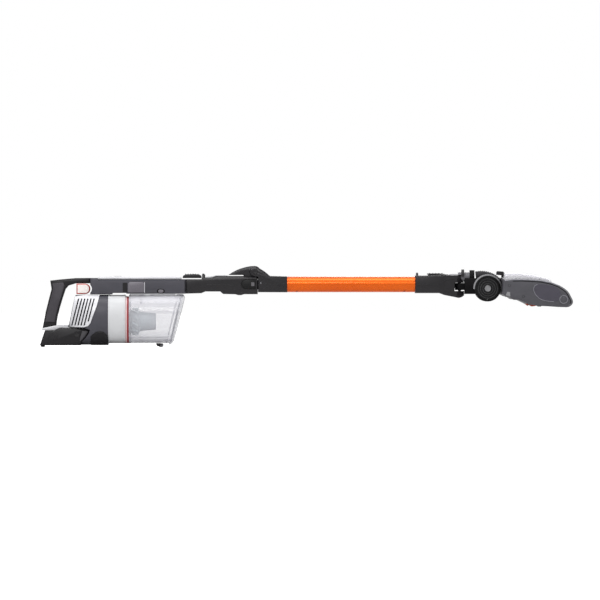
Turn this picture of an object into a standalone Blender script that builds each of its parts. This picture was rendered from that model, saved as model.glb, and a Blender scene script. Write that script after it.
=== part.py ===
"""A cordless stick vacuum, laid out straight with its wand level.

X runs along the wand towards the floor head, Y across it, and Z up. The origin is under the middle of
the whole object, on the plane of the two feet. Sizes are in millimetres and places along the handset
and wand are stations, counted from the battery's heel. MM turns them into Blender's metres.
"""

from math import cos, hypot, pi, radians, sin

import bmesh
import bpy
from mathutils import Matrix, Vector

MM = 0.001
GAP = 0.3  # between pieces that touch
FIT = 0.35  # round a pin, shaft or button in its hole

# Handset
BODY_WIDTH = 114.0
BODY_LOW, BODY_HIGH = 5.2, 135.4
HANDLE_WIDTH = 35.0
GRIP_PAD = 4.2  # thickness of the pads let into the handle's sides
BOOM_WIDTH = 56.0
BOOM_LOW, BOOM_HIGH = 137.6, 175.1
BATTERY_WIDTH = 74.0
TRIGGER_TRAVEL = 4.0
BUTTON_TRAVEL = 2.5
MOTOR_FRONT = 176.4
FILTER_LENGTH = 44.2
SEAL_LENGTH = 8.6
CUP_LENGTH = 118.3  # along the middle of its height
CUP_WALL = 2.5
DOOR_LEAN = 0.235  # how far the cup's mouth leans forward for each unit of height
DOOR_DEPTH = 11.0
BOOM_FRONT = 376.7

# Wand
DUCT_RADIUS = 12.0
TUBE_RADIUS = 20.2
TUBE_WALL = 1.6
TUBE_AXIS = 161.8  # height of the tube's centre line
TUBE_LENGTH = 330.2  # the coloured stretch that shows
SPIGOT_LENGTH = 26.0
HINGE_WIDTH = 46.0
KNUCKLE_WIDTH = 25.0
KNUCKLE_RADIUS = 14.0
FOLD_STATION, FOLD_HEIGHT = 556.0, 195.5
HINGE_SPLIT = 563.1
HINGE_END = 638.6
SOCKET_WALL = 2.6
SOCKET_LENGTH = 101.0
SWIVEL_REACH = 25.0  # from the socket's shoulder to the swivel's axis
HOSE_RADIUS = 12.8
HOSE_AXIS = 181.0

# Floor head; its own frame sits on the wheels' axle
AXLE_REACH = 72.1  # from the swivel's axis to the wheels' axle
AXLE_HEIGHT = 150.9
AXLE_RADIUS = 5.0
HEAD_DROOP = 4.4  # degrees, nose down
HEAD_WIDTH = 260.0
SIDE_CAP = 8.0
WHEEL_RADIUS = 33.5
WHEEL_WIDTH = 17.0
TYRE_DEPTH = 6.0
NECK_WIDTH = 42.0
GUARD_WIDTH = 6.0
BRUSH_RADIUS, BRUSH_X, BRUSH_Z = 19.5, 117.0, -15.5
ROLLER_RADIUS, ROLLER_X, ROLLER_Z = 19.8, 195.1, -13.4
WINDOW_WIDTH = 190.0
WINDOW_WALL = 2.2

FILTER_FRONT = MOTOR_FRONT + GAP + FILTER_LENGTH
SEAL_FRONT = FILTER_FRONT + GAP + SEAL_LENGTH
CUP_BACK = SEAL_FRONT + GAP
CUP_FRONT = CUP_BACK + CUP_LENGTH
TUBE_START = HINGE_END + GAP
SOCKET_START = TUBE_START + TUBE_LENGTH + GAP
SWIVEL_STATION = SOCKET_START + SOCKET_LENGTH + SWIVEL_REACH - 10.6
AXLE_STATION = SWIVEL_STATION + AXLE_REACH
NOSE = 218.1
OVERALL = AXLE_STATION + NOSE * cos(radians(HEAD_DROOP)) - 16.8 * sin(radians(HEAD_DROOP))


# ---- shapes, as bmeshes in millimetres -------------------------------------------------------------


def arc(x, z, radius, start, end, steps):
    """Points round (x, z), from start to end degrees, both ends kept."""
    turns = [radians(start + (end - start) * i / steps) for i in range(steps + 1)]
    return [(x + radius * cos(t), z + radius * sin(t)) for t in turns]


def grown(outline, by):
    """The outline moved outwards by a margin, or inwards by a negative one."""
    area = sum(a[0] * b[1] - b[0] * a[1] for a, b in zip(outline, outline[1:] + outline[:1]))
    side = by if area > 0 else -by
    moved = []
    for before, here, after in zip(outline[-1:] + outline[:-1], outline, outline[1:] + outline[:1]):
        first = Vector((here[1] - before[1], before[0] - here[0])).normalized()
        second = Vector((after[1] - here[1], here[0] - after[0])).normalized()
        middle = first + second
        moved.append(Vector(here) + middle * side / max(middle.dot(first), 0.5))
    return [tuple(p) for p in moved]


def shifted(outline, by):
    return [(x + by[0], z + by[1]) for x, z in outline]


def slab(outline, near, far, round_near=0.0, round_far=0.0, steps=2, upright=False):
    """A side outline of (x, z) from y=near to y=far or, upright, a plan of (x, y) from z=near to far.

    Rounding an end insets the outline there along a quarter circle.
    """
    inward = 1 if far > near else -1
    levels = []
    for i in range(steps + 1):
        t = pi / 2 * i / steps
        levels.append((near + inward * round_near * (1 - sin(t)), round_near * (1 - cos(t))))
    levels = levels[::-1] if round_near else levels[:1]
    if round_far:
        for i in range(steps + 1):
            t = pi / 2 * i / steps
            levels.append((far - inward * round_far * (1 - sin(t)), round_far * (1 - cos(t))))
    else:
        levels.append((far, 0.0))
    rings = []
    for depth, inset in levels:
        spots = grown(outline, -inset)
        rings.append([(p, q, depth) if upright else (p, depth, q) for p, q in spots])
    return loft(rings)


def loft(rings, closed=False):
    """Skins rings of equal length in turn. Closed joins the last to the first; otherwise both are capped."""
    bm = bmesh.new()
    loops = [[bm.verts.new(p) for p in ring] for ring in rings]
    pairs = list(zip(loops, loops[1:]))
    if closed:
        pairs.append((loops[-1], loops[0]))
    else:
        bm.faces.new(loops[0])
        bm.faces.new(loops[-1])
    for one, two in pairs:
        for i in range(len(one)):
            j = (i + 1) % len(one)
            bm.faces.new((one[i], one[j], two[j], two[i]))
    bmesh.ops.recalc_face_normals(bm, faces=bm.faces)
    return bm


def oval(x, low, high, half, lean=0.0, power=2.6, count=28):
    """A rounded-square ring across the barrel, its top leaning forward by lean."""
    ring = []
    for i in range(count):
        t = 2 * pi * (i + 0.5) / count
        y = half * abs(cos(t)) ** (2 / power) * (1 if cos(t) > 0 else -1)
        rise = (high - low) / 2 * abs(sin(t)) ** (2 / power) * (1 if sin(t) > 0 else -1)
        ring.append((x + lean * rise, y, (low + high) / 2 + rise))
    return ring


def round_ring(centre, radius, axis, count):
    """A circle about a centre, square to the axis vector."""
    side = Vector(axis).normalized()
    across = side.orthogonal().normalized() if abs(side.y) < 0.5 else Vector((1, 0, 0))
    up = side.cross(across).normalized()
    turns = [2 * pi * (i + 0.5) / count for i in range(count)]
    return [tuple(Vector(centre) + radius * (cos(t) * across + sin(t) * up)) for t in turns]


def turned(centre, axis, profile, count=20, closed=False):
    """Rings of (distance along the axis, radius), skinned in turn."""
    side = Vector(axis).normalized()
    rings = [round_ring(Vector(centre) + side * along, radius, axis, count) for along, radius in profile]
    return loft(rings, closed)


def pipe(path, outer, inner, count=12):
    """A hollow tube along points in the XZ plane."""
    points = [Vector((x, 0, z)) for x, z in path]
    rings = [[], []]
    for i, spot in enumerate(points):
        ahead = points[min(i + 1, len(points) - 1)] - points[max(i - 1, 0)]
        up = Vector((0, 1, 0)).cross(ahead).normalized()
        for kept, radius in zip(rings, (outer, inner)):
            turns = [2 * pi * k / count for k in range(count)]
            kept.append([tuple(spot + radius * (cos(t) * Vector((0, 1, 0)) + sin(t) * up)) for t in turns])
    return loft(rings[0] + rings[1][::-1], closed=True)


def box(low, high):
    bm = bmesh.new()
    middle = [(a + b) / 2 for a, b in zip(low, high)]
    size = [b - a for a, b in zip(low, high)]
    bmesh.ops.create_cube(bm, size=1.0, matrix=Matrix.Translation(middle) @ Matrix.Diagonal((*size, 1.0)))
    return bm


def rod_y(x, z, radius, near, far, count=16):
    """A round bar across the object."""
    return turned((x, 0, z), (0, 1, 0), [(near, radius), (far, radius)], count)


# ---- objects -----------------------------------------------------------------------------------------

LOOKS = {}


def look(name, colour, roughness=0.5, metallic=0.0):
    """Names a material and its sRGB colour, roughness and metallic value."""
    material = bpy.data.materials.new(name)
    material.use_nodes = True
    shader = material.node_tree.nodes["Principled BSDF"]
    linear = [((c / 255 + 0.055) / 1.055) ** 2.4 for c in colour]
    shader.inputs["Base Color"].default_value = (*linear, 1.0)
    shader.inputs["Roughness"].default_value = roughness
    shader.inputs["Metallic"].default_value = metallic
    material.diffuse_color = (*linear, 1.0)
    LOOKS[name] = material


def empty(name, parent, origin):
    """A body's frame: the empty stands at origin, which is a place in the parent's own sizes."""
    frame = bpy.data.objects.new(name + "_frame", None)
    bpy.context.scene.collection.objects.link(frame)
    frame.empty_display_size = 0.02
    if parent:
        frame.parent = parent["frame"]
        frame.location = (Vector(origin) - parent["origin"]) * MM
    else:
        frame.location = Vector(origin) * MM
    return {"frame": frame, "origin": Vector(origin)}


def make(name, shape, body):
    """An object from a shape in millimetres, its origin on its body's frame."""
    mesh = bpy.data.meshes.new(name)
    shape.to_mesh(mesh)
    mesh.transform(Matrix.Scale(MM, 4) @ Matrix.Translation(-body["origin"]))
    made = bpy.data.objects.new(name, mesh)
    bpy.context.scene.collection.objects.link(made)
    made.parent = body["frame"]
    return made


def add(name, bm, body, finish, cuts=(), joins=(), keeps=()):
    """A node from a base shape, with shapes joined to it, kept in common with it and cut from it."""
    node = make(name, bm, body)
    node.data.materials.append(LOOKS[finish])
    node.data.shade_smooth()
    node.data.set_sharp_from_angle(angle=radians(32))
    for operation, shapes in (("UNION", joins), ("INTERSECT", keeps), ("DIFFERENCE", cuts)):
        for shape in shapes:
            helper = make(f"{name}_{operation.lower()}", shape, body)
            helper.hide_render = True
            helper.display_type = "WIRE"
            modifier = node.modifiers.new(operation.title(), "BOOLEAN")
            modifier.operation = operation
            modifier.solver = "EXACT"
            modifier.object = helper
    return node


def both_sides(name, build):
    """Calls build(node name, side) for the right, at -Y, and the left, at +Y."""
    for word, side in (("right", -1), ("left", 1)):
        build(f"{name}_{word}", side)


for old in list(bpy.data.objects):
    bpy.data.objects.remove(old)

look("dark_plastic", (84, 83, 91), 0.42)
look("black_plastic", (52, 50, 53), 0.38)
look("grip_rubber", (103, 100, 105), 0.75)
look("silver_plastic", (240, 239, 242), 0.3)
look("pale_plastic", (206, 210, 207), 0.45)
look("clear_plastic", (229, 231, 235), 0.08)
look("red_rubber", (186, 92, 92), 0.5)
look("orange_paint", (224, 95, 16), 0.3)
look("orange_trigger", (236, 96, 74), 0.35)
look("grey_plastic", (117, 113, 121), 0.45)
look("head_plastic", (91, 90, 95), 0.4)
look("pale_grey_plastic", (150, 150, 153), 0.4)
look("tyre_rubber", (24, 24, 24), 0.8)
look("hose_rubber", (60, 58, 62), 0.6)
look("brush_bristle", (205, 105, 60), 0.8)
look("roller_pile", (84, 82, 86), 0.95)
look("steel", (190, 190, 195), 0.25, 1.0)
look("filter_foam", (120, 122, 124), 0.95)
look("circuit_green", (30, 92, 60), 0.5)
look("cell_wrap", (60, 110, 170), 0.4)

HALF_BODY = BODY_WIDTH / 2
HALF_HANDLE = HANDLE_WIDTH / 2
HALF_BOOM = BOOM_WIDTH / 2
HALF_BATTERY = BATTERY_WIDTH / 2

assembly = empty("assembly", None, (-OVERALL / 2, 0, 0))
assembly["origin"] = Vector((0, 0, 0))
handset = empty("handset", assembly, (0, 0, 0))

# ---- handle, trigger and grip pads -----------------------------------------------------------------

HANDLE_FRONT = 129.6
handle_back = [(5.8, 48.4), (9.2, 64.5), (14.2, 90.3), (21.9, 121.3), (29.3, 149.6), (26.0, 171.6)]
handle_top = [(52.9, 174.7), (91.6, 178.0), (HANDLE_FRONT, 178.4), (HANDLE_FRONT, 164.4)]
opening_edge = [(91.6, 164.2), (73.5, 158.7), (65.8, 149.6), (58.0, 126.4), (50.3, 100.6), (45.2, 80.0)]
handle = handle_back + handle_top + opening_edge + [(42.6, 64.5), (42.0, 55.6), (30.0, 53.4), (15.0, 50.2)]
grip_back = [(13.2, 64.5), (18.2, 90.3), (26.0, 121.3), (33.6, 149.6), (32.0, 164.0)]
grip_front = [(60.0, 166.5), (63.0, 158.0), (54.6, 128.0), (46.4, 102.0), (41.0, 80.0), (38.6, 64.5)]


def handle_shell(name, side):
    depth = HALF_HANDLE - GRIP_PAD
    outer = slab(handle, side * GAP / 2, side * depth, 0, 5.0)
    add(name, outer, handset, "black_plastic")


def grip_pad(name, side):
    inner = HALF_HANDLE - GRIP_PAD + GAP
    pad = slab(grip_back + grip_front, side * inner, side * HALF_HANDLE, 0, 3.0)
    add(name, pad, handset, "grip_rubber")


both_sides("handle_shell", handle_shell)
both_sides("grip_pad", grip_pad)

base = [(5.0, 43.4), (38.0, 43.4), (52.0, 49.4), (73.0, 49.4), (74.2, 57.3), (45.5, 57.3), (42.3, 55.2),
        (30.0, 53.0), (15.0, 49.8), (4.8, 47.8)]
add("handle_base", slab(base, -24, 24, 1.0, 1.0), handset, "silver_plastic")

TRIGGER_LOW, TRIGGER_HIGH = 136.6, 163.6
trigger_end = arc(116.0, (TRIGGER_LOW + TRIGGER_HIGH) / 2, (TRIGGER_HIGH - TRIGGER_LOW) / 2, -90, 90, 8)
trigger_side = [(94.2, TRIGGER_HIGH), (94.2, TRIGGER_LOW)] + trigger_end
trigger_body = empty("trigger", handset, (110, 0, 150))
add("trigger", slab(trigger_side, -17.2, 17.2, 1.5, 1.5), trigger_body, "orange_trigger")

# ---- motor housing and what is in it ---------------------------------------------------------------


def barrel(margin):
    """The motor housing's body, its surface moved out by a margin."""
    rings = [
        oval(82.6, 51.5 - margin, 134.6 + margin, HALF_BODY * 0.62 + margin, 0.218),
        oval(112.0, BODY_LOW - margin, BODY_HIGH + margin, HALF_BODY * 0.9 + margin, 0.1),
        oval(140.0, BODY_LOW - margin, BODY_HIGH + margin, HALF_BODY - 0.8 + margin),
        oval(MOTOR_FRONT, BODY_LOW - margin, BODY_HIGH + margin, HALF_BODY - 0.8 + margin),
    ]
    return loft(rings)


BATTERY_TOP = 49.0
battery_front = [(115.0, BATTERY_TOP), (129.2, 44.0), (128.0, 36.2), (120.0, 25.4), (109.4, 14.9),
                 (104.0, 4.2)]
battery = [(0.0, 4.2), (13.2, 43.0), (38.0, 43.0), (52.0, BATTERY_TOP)] + battery_front
MOTOR_AXIS = 78.0
motor_pocket = [(133.0, 27.0), (133.0, 46.0), (MOTOR_FRONT + 1, 46.0)]
add(
    "motor_housing",
    barrel(0),
    handset,
    "dark_plastic",
    cuts=[
        slab(grown(battery, 0.4), -HALF_BODY - 10, HALF_BODY + 10),
        turned((0, 0, MOTOR_AXIS), (1, 0, 0), motor_pocket, 24),
        turned((0, 0, MOTOR_AXIS + 8), (1, 0, 0), [(96.0, 22.0), (135.0, 22.0)], 20),
    ],
)
add(
    "suction_motor",
    turned((0, 0, MOTOR_AXIS + 8), (1, 0, 0), [(98.0, 16.0), (102.0, 20.0), (134.0, 20.0)], 20),
    handset,
    "steel",
)
FAN_BACK = 138.0
impeller = empty("motor_impeller", handset, (FAN_BACK, 0, MOTOR_AXIS + 8))
fan = [(FAN_BACK - 3, 4.0), (FAN_BACK, 4.0), (FAN_BACK, 30.0), (FAN_BACK + 3, 30.0), (FAN_BACK + 20, 14.0),
       (FAN_BACK + 22, 8.0)]
add("motor_impeller", turned((0, 0, MOTOR_AXIS + 8), (1, 0, 0), fan, 20), impeller, "steel")

panel_edge = [(154.8, 135.2), (148.4, 108.4), (138.0, 80.0), (131.6, 62.0), (125.0, 54.0), (114.8, 51.2)]
panel = [(75.6, 52.2), (92.2, 134.2)] + panel_edge
SLOT_WIDTH, SLOT_PITCH, SLOTS = 3.6, 8.05, 6


def grille(name, side):
    """A vented panel that follows the side of the motor housing, standing a little proud of it."""
    slots = []
    for i in range(SLOTS):
        foot = 55.5 if i < SLOTS - 1 else 66.0
        start = 81.3 + SLOT_PITCH * i + (foot - 55.5) * 0.252
        top = 98.8 + SLOT_PITCH * i
        sides = [(start, foot), (start + SLOT_WIDTH, foot), (top + SLOT_WIDTH, 125.0), (top, 125.0)]
        slots.append(slab(sides, side * 20, side * (HALF_BODY + 10)))
    sheet = slab(panel, side * 24, side * (HALF_BODY + 8))
    add(name, sheet, handset, "silver_plastic", cuts=[barrel(GAP)] + slots, keeps=[barrel(2.6)])


both_sides("exhaust_grille", grille)

# ---- battery and its release buttons ---------------------------------------------------------------

battery_body = empty("battery", handset, (60, 0, 25))
leaf = [(109.7, 42.4), (124.4, 41.7), (124.0, 37.6), (117.0, 27.6), (107.8, 18.0), (102.6, 14.0),
        (105.6, 28.4)]
BUTTON_DEPTH = 4.0
cell_bay = [(12, 9.0), (12, 40.2), (40, 40.2), (56, 45.0), (92, 45.0), (92, 9.0)]
heel = [(1.2, 6.0), (12.0, 6.0), (10.4, 0.0), (3.0, 0.0)]
leaf_pockets = [
    slab(grown(leaf, FIT), side * (HALF_BATTERY - BUTTON_DEPTH - BUTTON_TRAVEL - 0.5),
         side * (HALF_BATTERY + 5))
    for side in (-1, 1)
]
add(
    "battery_case",
    slab(battery, -HALF_BATTERY, HALF_BATTERY, 4.0, 4.0),
    battery_body,
    "black_plastic",
    joins=[slab(heel, -26, 26)],
    cuts=leaf_pockets + [slab(cell_bay, -HALF_BATTERY + 3, HALF_BATTERY - 3),
                         box((50, -6, 40), (58, 6, 52))],
)
CELL_RADIUS, CELL_LENGTH = 9.0, 62.0
cell_spots = [(24 + 19.0 * i, 18.8) for i in range(4)] + [(59 + 19.0 * i, 35.4) for i in range(2)]
strips = [box((16, -CELL_LENGTH / 2, 18.2), (86, CELL_LENGTH / 2, 19.4)),
          box((58, -30, 18.8), (60, 30, 35.4)), box((77, -30, 18.8), (79, 30, 35.4))]
add(
    "battery_cells",
    rod_y(*cell_spots[0], CELL_RADIUS, -CELL_LENGTH / 2, CELL_LENGTH / 2, 12),
    battery_body,
    "cell_wrap",
    joins=strips + [rod_y(x, z, CELL_RADIUS, -CELL_LENGTH / 2, CELL_LENGTH / 2, 12) for x,
                    z in cell_spots[1:]],
)


def release(name, side):
    body = empty(name, battery_body, (114, side * HALF_BATTERY, 30))
    outer = HALF_BATTERY + 1.2
    add(name, slab(leaf, side * (HALF_BATTERY - BUTTON_DEPTH), side * outer, 0, 1.0), body, "grey_plastic")


both_sides("battery_release", release)

# ---- boom, its cover, board and buttons ------------------------------------------------------------

boom_bottom = [(129.9, 135.8), (186.0, 135.8), (187.0, 139.4), (223.0, 139.4), (224.0, BOOM_LOW)]
boom_end = [(BOOM_FRONT, BOOM_LOW), (BOOM_FRONT, BOOM_HIGH), (148.6, BOOM_HIGH), (147.6, 178.3),
            (129.9, 178.3)]
BOOM_DUCT_HEIGHT = 157.0
INLET_STATION = 278.0
INLET_RADIUS = 14.0
detail = arc(309.5, 144.0, 4.2, 90, 270, 5) + arc(315.5, 144.0, 4.2, -90, 90, 5)
board_pocket = box((142, -22, 130), (184, 22, 169))
add(
    "boom_housing",
    slab(boom_bottom + boom_end, -HALF_BOOM, HALF_BOOM, 3.5, 3.5),
    handset,
    "dark_plastic",
    cuts=[
        turned((0, 0, BOOM_DUCT_HEIGHT), (1, 0, 0), [(262.0, 17.0), (BOOM_FRONT + 5, 17.0)], 20),
        turned((INLET_STATION, 0, 0), (0, 0, 1),
               [(BOOM_LOW - 5, INLET_RADIUS), (BOOM_DUCT_HEIGHT, INLET_RADIUS)], 20),
        slab(shifted(grown(trigger_side, 0.5), (TRIGGER_TRAVEL + 0.4, 0)), -HALF_BOOM - 5, HALF_BOOM + 5),
        board_pocket,
        slab(grown(detail, FIT), -HALF_BOOM - 5, -HALF_BOOM + 6.8),
    ],
)
add("control_board", box((144, -20, 140), (182, 20, 143)), handset, "circuit_green",
    joins=[box((150, -12, 142), (172, 12, 152))])
strip_top = [(149.0, BOOM_HIGH + GAP), (150.6, 181.0), (157.0, 182.4), (364.0, 182.4),
             (366.0, BOOM_HIGH + GAP)]
add("boom_top_cover", slab(strip_top, -HALF_BOOM + 3, HALF_BOOM - 3, 2.5, 2.5), handset, "silver_plastic")

door_button = empty("door_release_button", handset, (312.5, -HALF_BOOM, 144))
add("door_release_button", slab(detail, -HALF_BOOM + 3.8, -HALF_BOOM - 1.0, 0, 0.8), door_button,
    "grey_plastic")
slider_body = empty("cup_release_slider", handset, (248, -HALF_BOOM, 154))
slider = [(229.0, 140.2), (267.0, 140.2), (269.6, 143.0), (269.6, 164.5), (266.5, 167.7), (231.5, 167.7),
          (227.4, 163.0), (227.4, 142.0)]
add("cup_release_slider", slab(slider, -HALF_BOOM - GAP, -HALF_BOOM - 4.2, 0, 1.5), slider_body,
    "grey_plastic")

# ---- filter, seal and dust cup ---------------------------------------------------------------------


def band(back, front, low, high, half, wall):
    """A straight-sided ring of the barrel's section."""
    rings = [oval(back, low, high, half), oval(front, low, high, half)]
    rings += [oval(front, low + wall, high - wall, half - wall),
              oval(back, low + wall, high - wall, half - wall)]
    return loft(rings, closed=True)


CUP_LOW, CUP_HIGH = 9.5, 134.8
HALF_CUP = HALF_BODY - 1.6
add(
    "filter_housing",
    band(MOTOR_FRONT + GAP, FILTER_FRONT, CUP_LOW, CUP_HIGH, HALF_CUP, 2.6),
    handset,
    "pale_plastic",
)
foam_rings = [oval(x, CUP_LOW + 3, CUP_HIGH - 3, HALF_CUP - 3) for x in (MOTOR_FRONT + 4, FILTER_FRONT - 6)]
add("foam_filter", loft(foam_rings), handset, "filter_foam")

cup_body = empty("dust_cup", handset, (CUP_BACK, 0, 72))
add("cup_seal", band(FILTER_FRONT + GAP, SEAL_FRONT, CUP_LOW, 131.0, HALF_CUP - 0.6, 6.0), cup_body,
    "red_rubber")

OUTLET_RADIUS = 24.0
SHROUD_HEIGHT = 66.0


def cup_ring(x, wall, lean=0.0):
    return oval(x, CUP_LOW + wall, CUP_HIGH - wall, HALF_CUP - wall, lean)


outlet = [
    [(x, OUTLET_RADIUS * y / hypot(y, z - 72),
      SHROUD_HEIGHT + OUTLET_RADIUS * (z - 72) / hypot(y, z - 72)) for _, y, z in cup_ring(0, 0)]
    for x in (CUP_BACK, CUP_BACK + CUP_WALL)
]
cup_rings = [outlet[0], cup_ring(CUP_BACK, 0), cup_ring(CUP_FRONT, 0, DOOR_LEAN)]
cup_rings += [cup_ring(CUP_FRONT, CUP_WALL, DOOR_LEAN), cup_ring(CUP_BACK + CUP_WALL, CUP_WALL), outlet[1]]
inlet_hole = turned((INLET_STATION, 0, 0), (0, 0, 1),
                    [(CUP_HIGH - 12, INLET_RADIUS), (CUP_HIGH + 5, INLET_RADIUS)], 20)
add("dust_cup", loft(cup_rings, closed=True), cup_body, "clear_plastic", cuts=[inlet_hole])

SHROUD_BACK, SHROUD_FRONT = CUP_BACK + CUP_WALL + GAP, CUP_BACK + 69.0
shroud = [(SHROUD_BACK, 26.0), (SHROUD_BACK, 31.0), (SHROUD_BACK + 22, 31.0), (SHROUD_BACK + 26, 25.0),
          (SHROUD_FRONT, 21.0)]
shroud_hollow = [(SHROUD_FRONT - 3, 17.0), (SHROUD_BACK + 24, 22.0), (SHROUD_BACK - 1, 22.0)]
add(
    "cyclone_shroud",
    turned((0, 0, SHROUD_HEIGHT), (1, 0, 0), shroud, 20),
    cup_body,
    "grey_plastic",
    cuts=[turned((0, 0, SHROUD_HEIGHT), (1, 0, 0), shroud_hollow, 20)],
)
cone = [(SHROUD_BACK + 4, 18.0), (SHROUD_BACK + 20, 18.0), (SHROUD_FRONT - 8, 8.0)]
add("cyclone_cone", turned((0, 0, SHROUD_HEIGHT), (1, 0, 0), cone, 16), cup_body, "pale_plastic")

DOOR_PIN_STATION, DOOR_PIN_HEIGHT, DOOR_PIN_RADIUS = 312.8, 4.2, 1.6
lug = [(300.0, 9.2), (301.5, 3.0), (308.5, 0.6), (310.4, 0.0), (315.6, 0.0), (317.3, 1.6), (317.3, 8.6),
       (311.0, 9.2)]
pin_hole = rod_y(DOOR_PIN_STATION, DOOR_PIN_HEIGHT, DOOR_PIN_RADIUS + FIT, -30, 30, 12)
notch = slab([(306.5, -3), (306.5, 12), (320, 12), (320, -3)], -13, 13)
add("cup_foot", slab(lug, -22, 22), cup_body, "black_plastic", cuts=[notch, pin_hole])
add("door_hinge_pin", rod_y(DOOR_PIN_STATION, DOOR_PIN_HEIGHT, DOOR_PIN_RADIUS, -21.5, 21.5, 12), cup_body,
    "steel")

door_body = empty("cup_door", cup_body, (DOOR_PIN_STATION, 0, DOOR_PIN_HEIGHT))
door_back = CUP_FRONT + GAP
door_rings = [
    oval(door_back, CUP_LOW - 1.5, CUP_HIGH, HALF_CUP, DOOR_LEAN),
    oval(door_back + DOOR_DEPTH - 4.0, CUP_LOW - 1.5, CUP_HIGH, HALF_CUP, DOOR_LEAN + 0.02),
    oval(door_back + DOOR_DEPTH, CUP_LOW + 4.5, CUP_HIGH - 6, HALF_CUP - 6, DOOR_LEAN + 0.02),
]
door_hollow = loft([oval(door_back - 2, CUP_LOW + 3, CUP_HIGH - 4, HALF_CUP - 4, DOOR_LEAN),
                    oval(door_back + DOOR_DEPTH - 4.5, CUP_LOW + 3, CUP_HIGH - 4, HALF_CUP - 4, DOOR_LEAN)])
arm_back = arc(DOOR_PIN_STATION, DOOR_PIN_HEIGHT, 3.4, 90, 270, 5)
arm = arm_back + [(door_back - 15.0, 1.6), (door_back + 2.0, 10.5), (door_back - 12.0, 12.5),
                  (door_back - 16.5, 7.4)]
add(
    "cup_door",
    loft(door_rings),
    door_body,
    "clear_plastic",
    cuts=[door_hollow, pin_hole],
    joins=[slab(arm, -12.4, 12.4)],
)
seal_rings = [
    oval(door_back + 0.6, CUP_LOW + 3.4, CUP_HIGH - 4.4, HALF_CUP - 4.4, DOOR_LEAN),
    oval(door_back + 3.4, CUP_LOW + 3.4, CUP_HIGH - 4.4, HALF_CUP - 4.4, DOOR_LEAN),
    oval(door_back + 3.4, CUP_LOW + 6.4, CUP_HIGH - 7.4, HALF_CUP - 7.4, DOOR_LEAN),
    oval(door_back + 0.6, CUP_LOW + 6.4, CUP_HIGH - 7.4, HALF_CUP - 7.4, DOOR_LEAN),
]
add("door_seal", loft(seal_rings, closed=True), door_body, "hose_rubber")

# ---- upper wand and fold hinge ---------------------------------------------------------------------

HALF_HINGE = HINGE_WIDTH / 2
HALF_KNUCKLE = KNUCKLE_WIDTH / 2
PIN_RADIUS = 4.0
HINGE_HOSE_HEIGHT = 161.5
wand_low = [(377.4, 137.8), (416.7, 138.8), (427.0, 143.2), (465.7, 143.2), (473.4, 136.7), (504.4, 136.0)]
wand_low += [(512.0, 133.8), (520.0, 133.8), (527.6, 136.2), (HINGE_SPLIT - 0.4, 136.2)]
wand_high = [(HINGE_SPLIT - 0.4, 176.0), (HINGE_SPLIT - 4.0, 180.8), (532.0, 180.8), (526.0, 183.6),
             (456.0, 183.6), (444.0, 179.2)]
wand_high += [(418.0, 179.2), (417.4, 175.2), (377.4, 175.2)]
fold_side = arc(532.5, 162.0, 11.8, 90, 270, 6) + [(556.4, 150.2), (556.4, 173.8)]
wand_button = [(368.4, 178.0), (369.6, 184.0), (376.0, 187.6), (400.0, 188.4), (413.0, 187.0),
               (417.0, 184.0), (417.0, 178.0)]
catch = [(418.6, 177.0), (426.6, 177.0), (427.0, 186.0), (424.0, 189.6), (420.0, 189.6), (418.6, 187.0)]
pin_bore = rod_y(FOLD_STATION, FOLD_HEIGHT, PIN_RADIUS + FIT, -HALF_HINGE - 5, HALF_HINGE + 5)
dome = [(486.3, 186.0), (496.7, 192.7), (506.5, 197.9), (517.3, 202.5), (532.8, 206.9), (544.0, 208.9)]
knuckle = dome + arc(FOLD_STATION, FOLD_HEIGHT, KNUCKLE_RADIUS, 95, -60, 9)
knuckle += [(HINGE_SPLIT - 4.0, 178.0), (530.0, 178.0), (525.0, 186.0)]
spigot = turned((0, 0, BOOM_DUCT_HEIGHT), (1, 0, 0), [(330.0, 15.8), (332.0, 16.6), (385.0, 16.6)], 20)
add(
    "wand_upper_housing",
    slab(wand_low + wand_high, -HALF_HINGE, HALF_HINGE, 4.0, 4.0),
    handset,
    "black_plastic",
    joins=[spigot, slab(catch, -11, 11, 1.0, 1.0), slab(knuckle, -HALF_KNUCKLE, HALF_KNUCKLE, 3.0, 3.0)],
    cuts=[
        turned((0, 0, BOOM_DUCT_HEIGHT), (1, 0, 0), [(325.0, 13.0), (392.0, 13.0)], 18),
        turned((385.0, 0, BOOM_DUCT_HEIGHT), (150, 0, HINGE_HOSE_HEIGHT - BOOM_DUCT_HEIGHT),
               [(0, 12.6), (160.0, 12.6)], 18),
        turned((0, 0, HINGE_HOSE_HEIGHT), (1, 0, 0),
               [(540.0, HOSE_RADIUS + 0.7), (570.0, HOSE_RADIUS + 0.7)], 18),
        slab(grown(fold_side, FIT), -HALF_HINGE - 5, -HALF_HINGE + 6.4),
        pin_bore,
    ],
)
wand_button_body = empty("wand_release_button", handset, (393, 0, 180))
add("wand_release_button", slab(wand_button, -13, 13, 1.5, 1.5), wand_button_body, "black_plastic")
fold_button = empty("fold_release_button", handset, (540, -HALF_HINGE, 162))
add("fold_release_button", slab(fold_side, -HALF_HINGE + 3.6, -HALF_HINGE - 0.8, 0, 1.0), fold_button,
    "dark_plastic")

add("fold_pin", rod_y(FOLD_STATION, FOLD_HEIGHT, PIN_RADIUS, -HALF_HINGE, HALF_HINGE), handset, "steel")

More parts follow.
